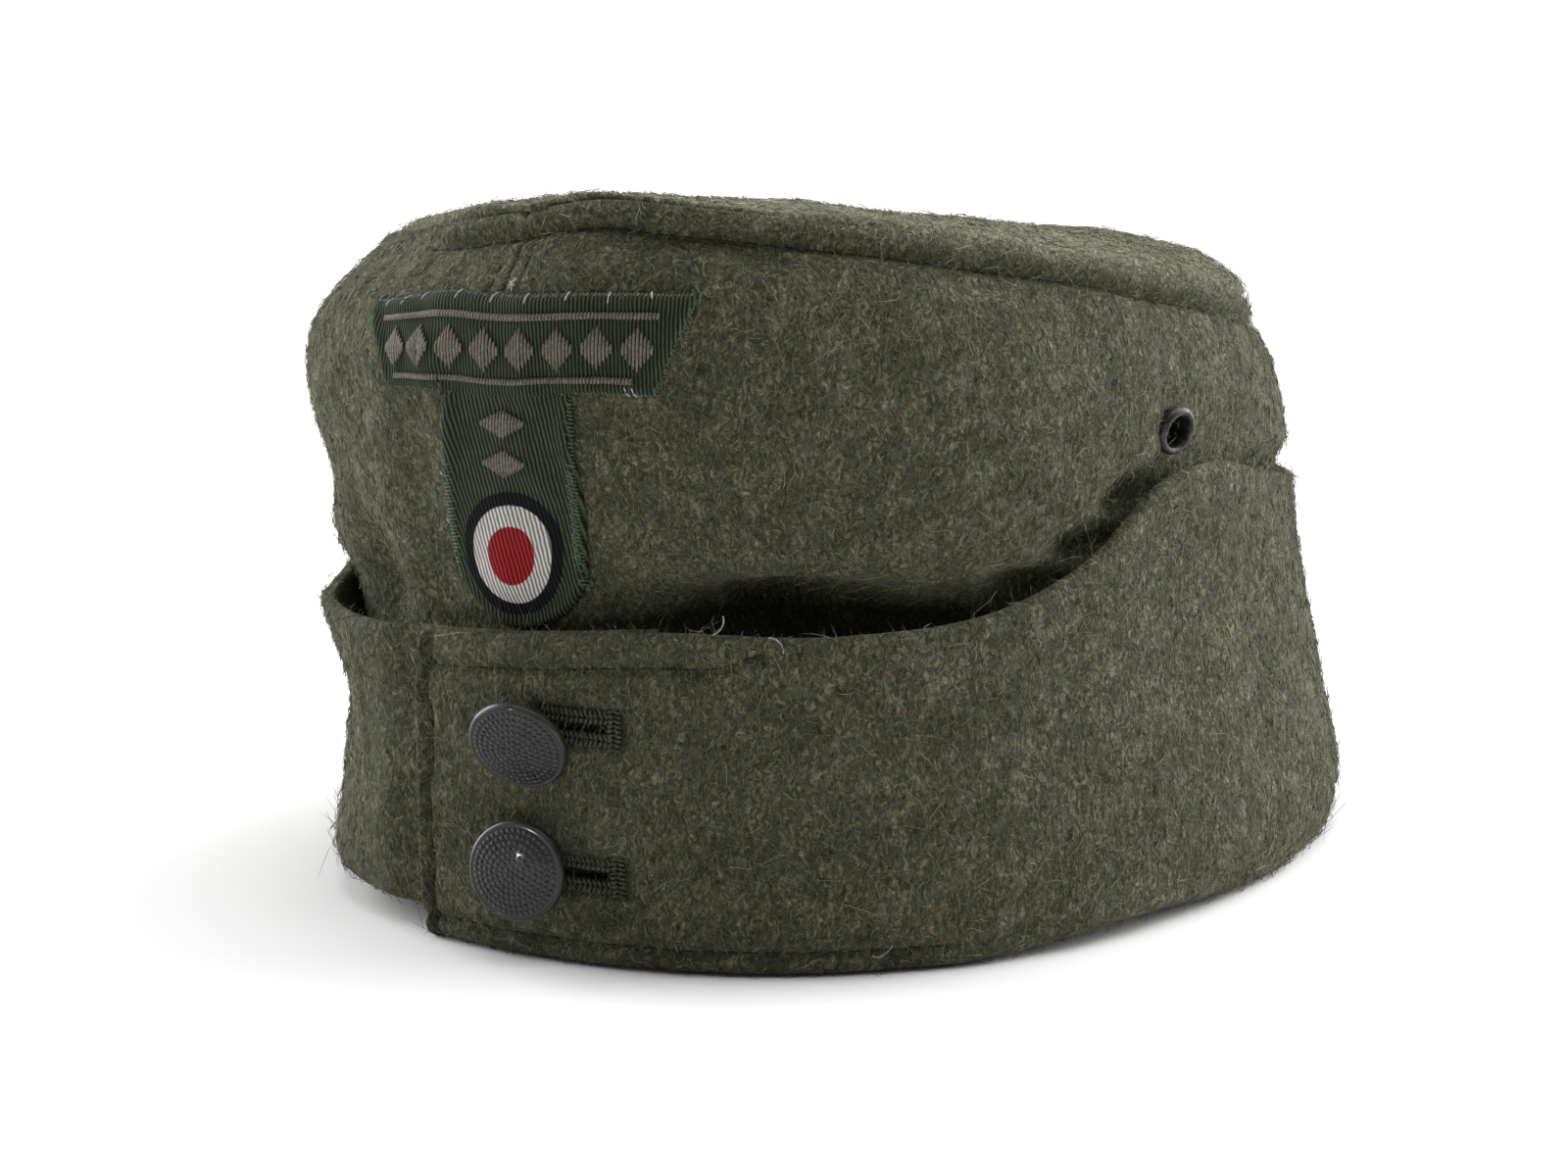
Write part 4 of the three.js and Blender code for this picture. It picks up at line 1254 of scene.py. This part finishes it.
def motif():
    """A band of upright lozenges between two lines and a short row above the roundel, in satin stitches."""
    starts, ends = [], []
    pitch = 0.56
    lean = 0.12
    middle = (PATCH_TOP + PATCH_BAR_FOOT) / 2 - 0.2

    def lozenge(across, height, tallest, reach, width, least):
        for x in np.arange(-reach, reach + 0.01, pitch):
            tall = tallest * (1 - abs(x) / width)
            if tall > least:
                starts.append((across + x, height - tall))
                ends.append((across + x + lean, height + tall))

    for line in (-5.1, 4.6):
        z = middle + line
        half = patch_half(z) - 4.2
        for x in np.arange(-half, half, pitch):
            starts.append((x, z - 0.5))
            ends.append((x + lean, z + 0.55))
    for across in np.linspace(-22.5, 22.5, 8):
        lozenge(across, middle - 0.25, 3.6, 2.7, 3.0, 0.4)
    for height in (88.0, 81.5):
        lozenge(ROUNDEL_ACROSS, height, 2.5, 4.2, 4.6, 0.35)
    return patch_thread("patch_motif", starts, ends, 0.2, 0.27, 0.2, motif_thread)


def edging():
    """Stitches over the patch's turned edges: upright along the bar, aslant down its ends and the stem."""
    starts, ends = [], []
    corners = [
        (-PATCH_TOP_HALF, PATCH_TOP, 0), (PATCH_TOP_HALF, PATCH_TOP, 0.9),
        (PATCH_BAR_HALF, PATCH_BAR_FOOT, 0.2), (PATCH_STEM_HALF - 1.5, PATCH_BAR_FOOT, 0.7),
        (PATCH_STEM_HALF - 0.2, PATCH_END - 4, 0),
    ]
    runs = [(a, b, a[2]) for a, b in zip(corners[:-1], corners[1:])]
    runs += [((-b[0], b[1], 0), (-a[0], a[1], 0), -0.5 * slant) for a, b, slant in runs[1:]]
    for a, b, slant in runs:
        a, b = np.array(a[:2]), np.array(b[:2])
        long = np.linalg.norm(b - a)
        way = (b - a) / long
        inward = np.array([way[1], -way[0]])
        for n, walked in enumerate(np.arange(0.3, long - 0.2, 0.62)):
            at = a + way * walked
            reach = 1.7 + 0.25 * math.sin(n * 2.4)
            starts.append(at - inward * 0.1 + way * 0.35 * slant)
            ends.append(at + inward * reach - way * slant)
    return patch_thread("patch_edging", starts, ends, -0.12, 0.25, 0.34, edge_thread)


def pale_stitches():
    """The few pale stitches that hold the patch, and the knots on the front seam above it."""
    draw = np.random.default_rng(41)
    starts, ends = [], []
    for x in (-27, -21.5, -17, -9, -2.5, 4, 11, 17.5, 24):
        starts.append((x, PATCH_TOP + 0.25))
        ends.append((x + draw.uniform(-0.3, 0.4), PATCH_TOP - draw.uniform(0.9, 1.6)))
    for x in (21.2, 22.3):
        starts.append((x, PATCH_BAR_FOOT - 0.3))
        ends.append((x - 0.6, PATCH_BAR_FOOT + 1.6))
    for knot in ((0.5, 2.4, -0.7, 0.9), (-0.9, 2.0, 0.6, 1.2), (-0.2, 2.6, 0.2, 0.3)):
        starts.append((knot[0], PATCH_TOP + knot[1]))
        ends.append((knot[2], PATCH_TOP + knot[3]))
    for z in (71, 79):
        starts.append((-PATCH_STEM_HALF - 0.3, z))
        ends.append((-PATCH_STEM_HALF + 0.9, z - 0.2))
    return patch_thread("patch_pale_stitches", starts, ends, 0.1, 0.16, 0.28, white_thread)


# Buttons and eyelets


def only(piece):
    bpy.ops.object.select_all(action="DESELECT")
    piece.select_set(True)
    bpy.context.view_layer.objects.active = piece


def drawn_up(name, profile, sides, closed):
    """A round piece drawn ring by ring through (radius, height) pairs in millimetres."""
    bpy.ops.object.select_all(action="DESELECT")
    radius, height = profile[0]
    bpy.ops.mesh.primitive_circle_add(vertices=sides, radius=radius * MM, location=(0, 0, 0))
    piece = bpy.context.active_object
    piece.name = name
    bpy.ops.object.mode_set(mode="EDIT")
    bpy.ops.mesh.select_all(action="SELECT")
    bpy.ops.transform.translate(value=(0, 0, height * MM))
    for wider, higher in profile[1:]:
        move = (0, 0, (higher - height) * MM)
        bpy.ops.mesh.extrude_region_move(TRANSFORM_OT_translate={"value": move})
        grow = wider / radius
        bpy.ops.transform.resize(value=(grow, grow, 1), center_override=(0, 0, higher * MM))
        radius, height = wider, higher
    bpy.ops.mesh.select_all(action="SELECT")
    if closed:
        bpy.ops.mesh.remove_doubles(threshold=0.00001)
    else:
        bpy.ops.mesh.select_all(action="DESELECT")
        bpy.ops.mesh.select_non_manifold(extend=False)
        bpy.ops.mesh.edge_face_add()
        bpy.ops.mesh.select_all(action="SELECT")
    bpy.ops.mesh.normals_make_consistent(inside=False)
    bpy.ops.object.mode_set(mode="OBJECT")
    bpy.ops.object.shade_smooth_by_angle(angle=math.radians(50))
    return piece


def dome(radius):
    """Height of the button's face at a distance from its middle."""
    curve = 20.0
    return BUTTON_DOME - (curve - math.sqrt(curve * curve - radius * radius))


def pebble():
    """One low pebble of the button's face."""
    bpy.ops.object.select_all(action="DESELECT")
    bpy.ops.mesh.primitive_uv_sphere_add(segments=8, ring_count=6, radius=0.43 * MM, location=(0, 0, 0))
    piece = bpy.context.active_object
    bpy.ops.object.mode_set(mode="EDIT")
    bpy.ops.mesh.select_all(action="SELECT")
    bpy.ops.transform.resize(value=(1, 1, 0.62))
    bpy.ops.mesh.bisect(plane_co=(0, 0, -0.1 * MM), plane_no=(0, 0, 1), use_fill=True, clear_inner=True)
    bpy.ops.object.mode_set(mode="OBJECT")
    bpy.ops.object.shade_smooth()
    return piece


def button(name, node, height, along, turn, nod, stand_off):
    """A domed button with rings of pebbles and a rolled rim, tipped on its thread."""
    r = BUTTON_RADIUS
    face = [(radius, dome(radius)) for radius in (0.05, 1.5, 3, 4.5, 6, 7, r - 0.7)]
    rim = [(r - 0.62, 1.95), (r - 0.4, 2.02), (r - 0.15, 1.85), (r, 1.5)]
    rim += [(r, 1.0), (r - 0.15, 0.5), (r - 0.5, 0.2)]
    back = -stand_off - FLAP_CLOTH
    shank = [(r - 0.9, 0.05), (1.5, 0.0), (1.2, -0.3), (1.2, back), (0.05, back)]
    piece = drawn_up(name, face + rim + shank, 64, closed=False)
    seed = pebble()
    copies = []
    for ring in range(8):
        radius = 0.965 * ring
        count = max(1, round(2 * math.pi * radius / 0.97))
        for n in range(count):
            angle = 2 * math.pi * (n + 0.5 * (ring % 2)) / count
            copy = seed.copy()
            copy.data = seed.data.copy()
            bpy.context.scene.collection.objects.link(copy)
            place = Vector((radius * math.cos(angle), radius * math.sin(angle), dome(radius))) * MM
            slope = Vector((place.x, place.y, 20 * MM)).normalized()
            copy.matrix_world = Matrix.Translation(place) @ slope.to_track_quat("Z", "Y").to_matrix().to_4x4()
            copies.append(copy)
    bpy.data.objects.remove(seed)
    only(piece)
    for copy in copies:
        copy.select_set(True)
    bpy.ops.object.join()
    angle = along / FRONT_BEND
    _, out = flap_face(angle, height)
    seat = flap(np.array(angle), np.array(height))
    outwards = Vector(out)
    round_way = Vector((0, 0, 1)).cross(outwards)
    tipped = Quaternion((0, 0, 1), math.radians(turn)) @ Quaternion(round_way, math.radians(-nod))
    facing = tipped @ Vector((0, 0, 1)).rotation_difference(outwards)
    pivot = facing @ Vector((0, 0, -stand_off - FLAP_CLOTH / 2))
    place = Vector(seat + SHIFT) - outwards * FLAP_CLOTH / 2 - pivot
    piece.matrix_world = Matrix.Translation(place * MM) @ facing.to_matrix().to_4x4()
    settle(piece, paint, node)
    return piece


def settle(piece, material, node):
    """Puts a piece's place into its mesh, gives it its finish, hangs it under the root and hides the CAD node
    that it stands for.
    """
    only(piece)
    bpy.ops.object.transform_apply(location=True, rotation=True, scale=True)
    piece.data.materials.clear()
    piece.data.materials.append(material)
    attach(piece, "root")
    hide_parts(node)


def eyelet(name, node, side):
    """A rolled ring through the cloth, with its barrel and inner flange."""
    bore, flange = EYELET_BORE, EYELET_RADIUS
    back = -CLOTH - 0.75
    profile = [
        (bore, back - 0.5), (bore + 0.1, back - 0.7), (flange - 0.8, back - 0.55), (flange - 0.6, back - 0.2),
        (bore + 0.6, back), (bore + 0.55, -1.0), (bore + 0.6, 0.25), (flange - 0.1, 0.3), (flange, 0.6),
        (flange - 0.1, 1.1), (flange - 0.45, 1.5), (bore + 0.6, 1.65), (bore + 0.2, 1.5), (bore, 1.1),
        (bore - 0.05, 0.4), (bore, -1.2), (bore, back - 0.5),
    ]
    piece = drawn_up(name, profile, 48, closed=True)
    at, out = eyelet_place(side)
    facing = Vector((0, 0, 1)).rotation_difference(Vector(out))
    facing = Quaternion(Vector(out).cross(Vector((0, 0, -1))), math.radians(EYELET_NOD)) @ facing
    facing = Quaternion((0, 0, 1), math.radians(-EYELET_TURN * side)) @ facing
    piece.matrix_world = Matrix.Translation(Vector(at + SHIFT) * MM) @ facing.to_matrix().to_4x4()
    settle(piece, blackened, node)
    return piece


# Camera, light and floor


def direction(azimuth, elevation):
    """Direction in degrees round from the front towards the wearer's left, and above the level."""
    a, e = math.radians(azimuth), math.radians(elevation)
    return np.array([math.sin(a) * math.cos(e), -math.cos(a) * math.cos(e), math.sin(e)])


def camera():
    """Looks from the front left of the cap, as the photograph does, its aim set to frame the cap alike."""
    azimuth, elevation, distance = 31.5, 10, 750
    aside, below = 7.83, 15.83
    back = direction(azimuth, elevation)
    right = np.array([math.cos(math.radians(azimuth)), math.sin(math.radians(azimuth)), 0])
    middle = np.array([0, 0, 60]) + SHIFT
    eye = middle + distance * back
    aim = middle - aside * right - below * np.cross(back, right)
    data = bpy.data.cameras.new("camera")
    data.lens = 97.03
    data.sensor_width = 36
    data.clip_start = 0.01
    made = bpy.data.objects.new("camera", data)
    bpy.context.scene.collection.objects.link(made)
    made.location = Vector(eye) * MM
    made.rotation_euler = (Vector(aim) - Vector(eye)).to_track_quat("-Z", "Y").to_euler()
    bpy.context.scene.camera = made


def sun(name, azimuth, elevation, strength, spread):
    """A soft light from far away."""
    data = bpy.data.lights.new(name, "SUN")
    data.energy = strength
    data.angle = math.radians(spread)
    made = bpy.data.objects.new(name, data)
    bpy.context.scene.collection.objects.link(made)
    made.rotation_euler = (-Vector(direction(azimuth, elevation))).to_track_quat("-Z", "Y").to_euler()
    return made


def glint_on(pieces):
    """A small lamp near the camera that lights these pieces alone, for the glints on their pebbles."""
    lamp = sun("light_glint", -6, 5, 0.6, 2)
    lit = bpy.data.collections.new("lit by the glint lamp")
    for piece in pieces:
        lit.objects.link(piece)
    lamp.light_linking.receiver_collection = lit


def studio():
    """Soft light from both sides and above, and a pale floor."""
    sun("light_left_side", 147, 16, 4.9, 60)
    sun("light_right_side", -89, 16, 5.2, 60)
    sun("light_above", 155, 72, 2.6, 70)
    world = bpy.data.worlds.new("studio")
    world.use_nodes = True
    back = world.node_tree.nodes["Background"]
    back.inputs["Color"].default_value = (1, 1, 1, 1)
    back.inputs["Strength"].default_value = 0.14
    bpy.context.scene.world = world
    bpy.context.scene.view_settings.view_transform = "Standard"
    bpy.ops.object.select_all(action="DESELECT")
    bpy.ops.mesh.primitive_plane_add(size=16, location=(0, 0, 0))
    floor = bpy.context.active_object
    floor.name = "floor"
    make = Finish("pale floor")
    floor.data.materials.append(make.surface({"Base Color": (0.86, 0.86, 0.86, 1), "Roughness": 0.9}))


camera()
studio()

left_side, left_grid, left_look = crown_side("crown_left_cloth", "crown_side_left", 1)
right_side, right_grid, right_look = crown_side("crown_right_cloth", "crown_side_right", -1)
top_panel, top_grid, top_look = crown_top()
left_flap, left_flap_grid, left_flap_look = flap_side("flap_left_cloth", "flap_left", 1)
right_flap, right_flap_grid, right_flap_look = flap_side("flap_right_cloth", "flap_right", -1)

shown = 9
fields = [
    nap("crown_left_nap", left_grid[:, shown:], left_look[:, shown:], 14000, 101),
    nap("crown_right_nap", right_grid[:, shown:], right_look[:, shown:], 11000, 102),
    nap("crown_top_nap", top_grid, top_look, 14000, 103, steep=0.65, material=top_hair_painted_lighter),
    nap("flap_left_nap", left_flap_grid, left_flap_look, 16500, 104, steep=0.22),
    nap("flap_right_nap", right_flap_grid, right_flap_look, 11500, 105, steep=0.22),
]
strays = [
    long_hairs("crown_left_hairs", left_grid[:, shown:], left_look[:, shown:], 3600, 111),
    long_hairs("crown_right_hairs", right_grid[:, shown:], right_look[:, shown:], 2900, 112),
    long_hairs("crown_top_hairs", top_grid, top_look, 2900, 113, material=top_hair_painted_lighter),
    long_hairs("flap_left_hairs", left_flap_grid, left_flap_look, 4000, 114),
    long_hairs("flap_right_hairs", right_flap_grid, right_flap_look, 2800, 115),
]

patch = patch_cloth()
patch_pieces = [motif(), edging(), pale_stitches()]
stitching = tab_stitching()
loose = loose_threads()
crown_seam = crown_stitching()
for name, spec in BUTTONS.items():
    buttonhole_stitches("buttonhole_" + name.split("_")[1], spec["height"])
buttons = [button(name + "_pebbled", name, **spec) for name, spec in BUTTONS.items()]
glint_on(buttons)
eyelet("eyelet_left_ring", "eyelet_left", 1)
eyelet("eyelet_right_ring", "eyelet_right", -1)
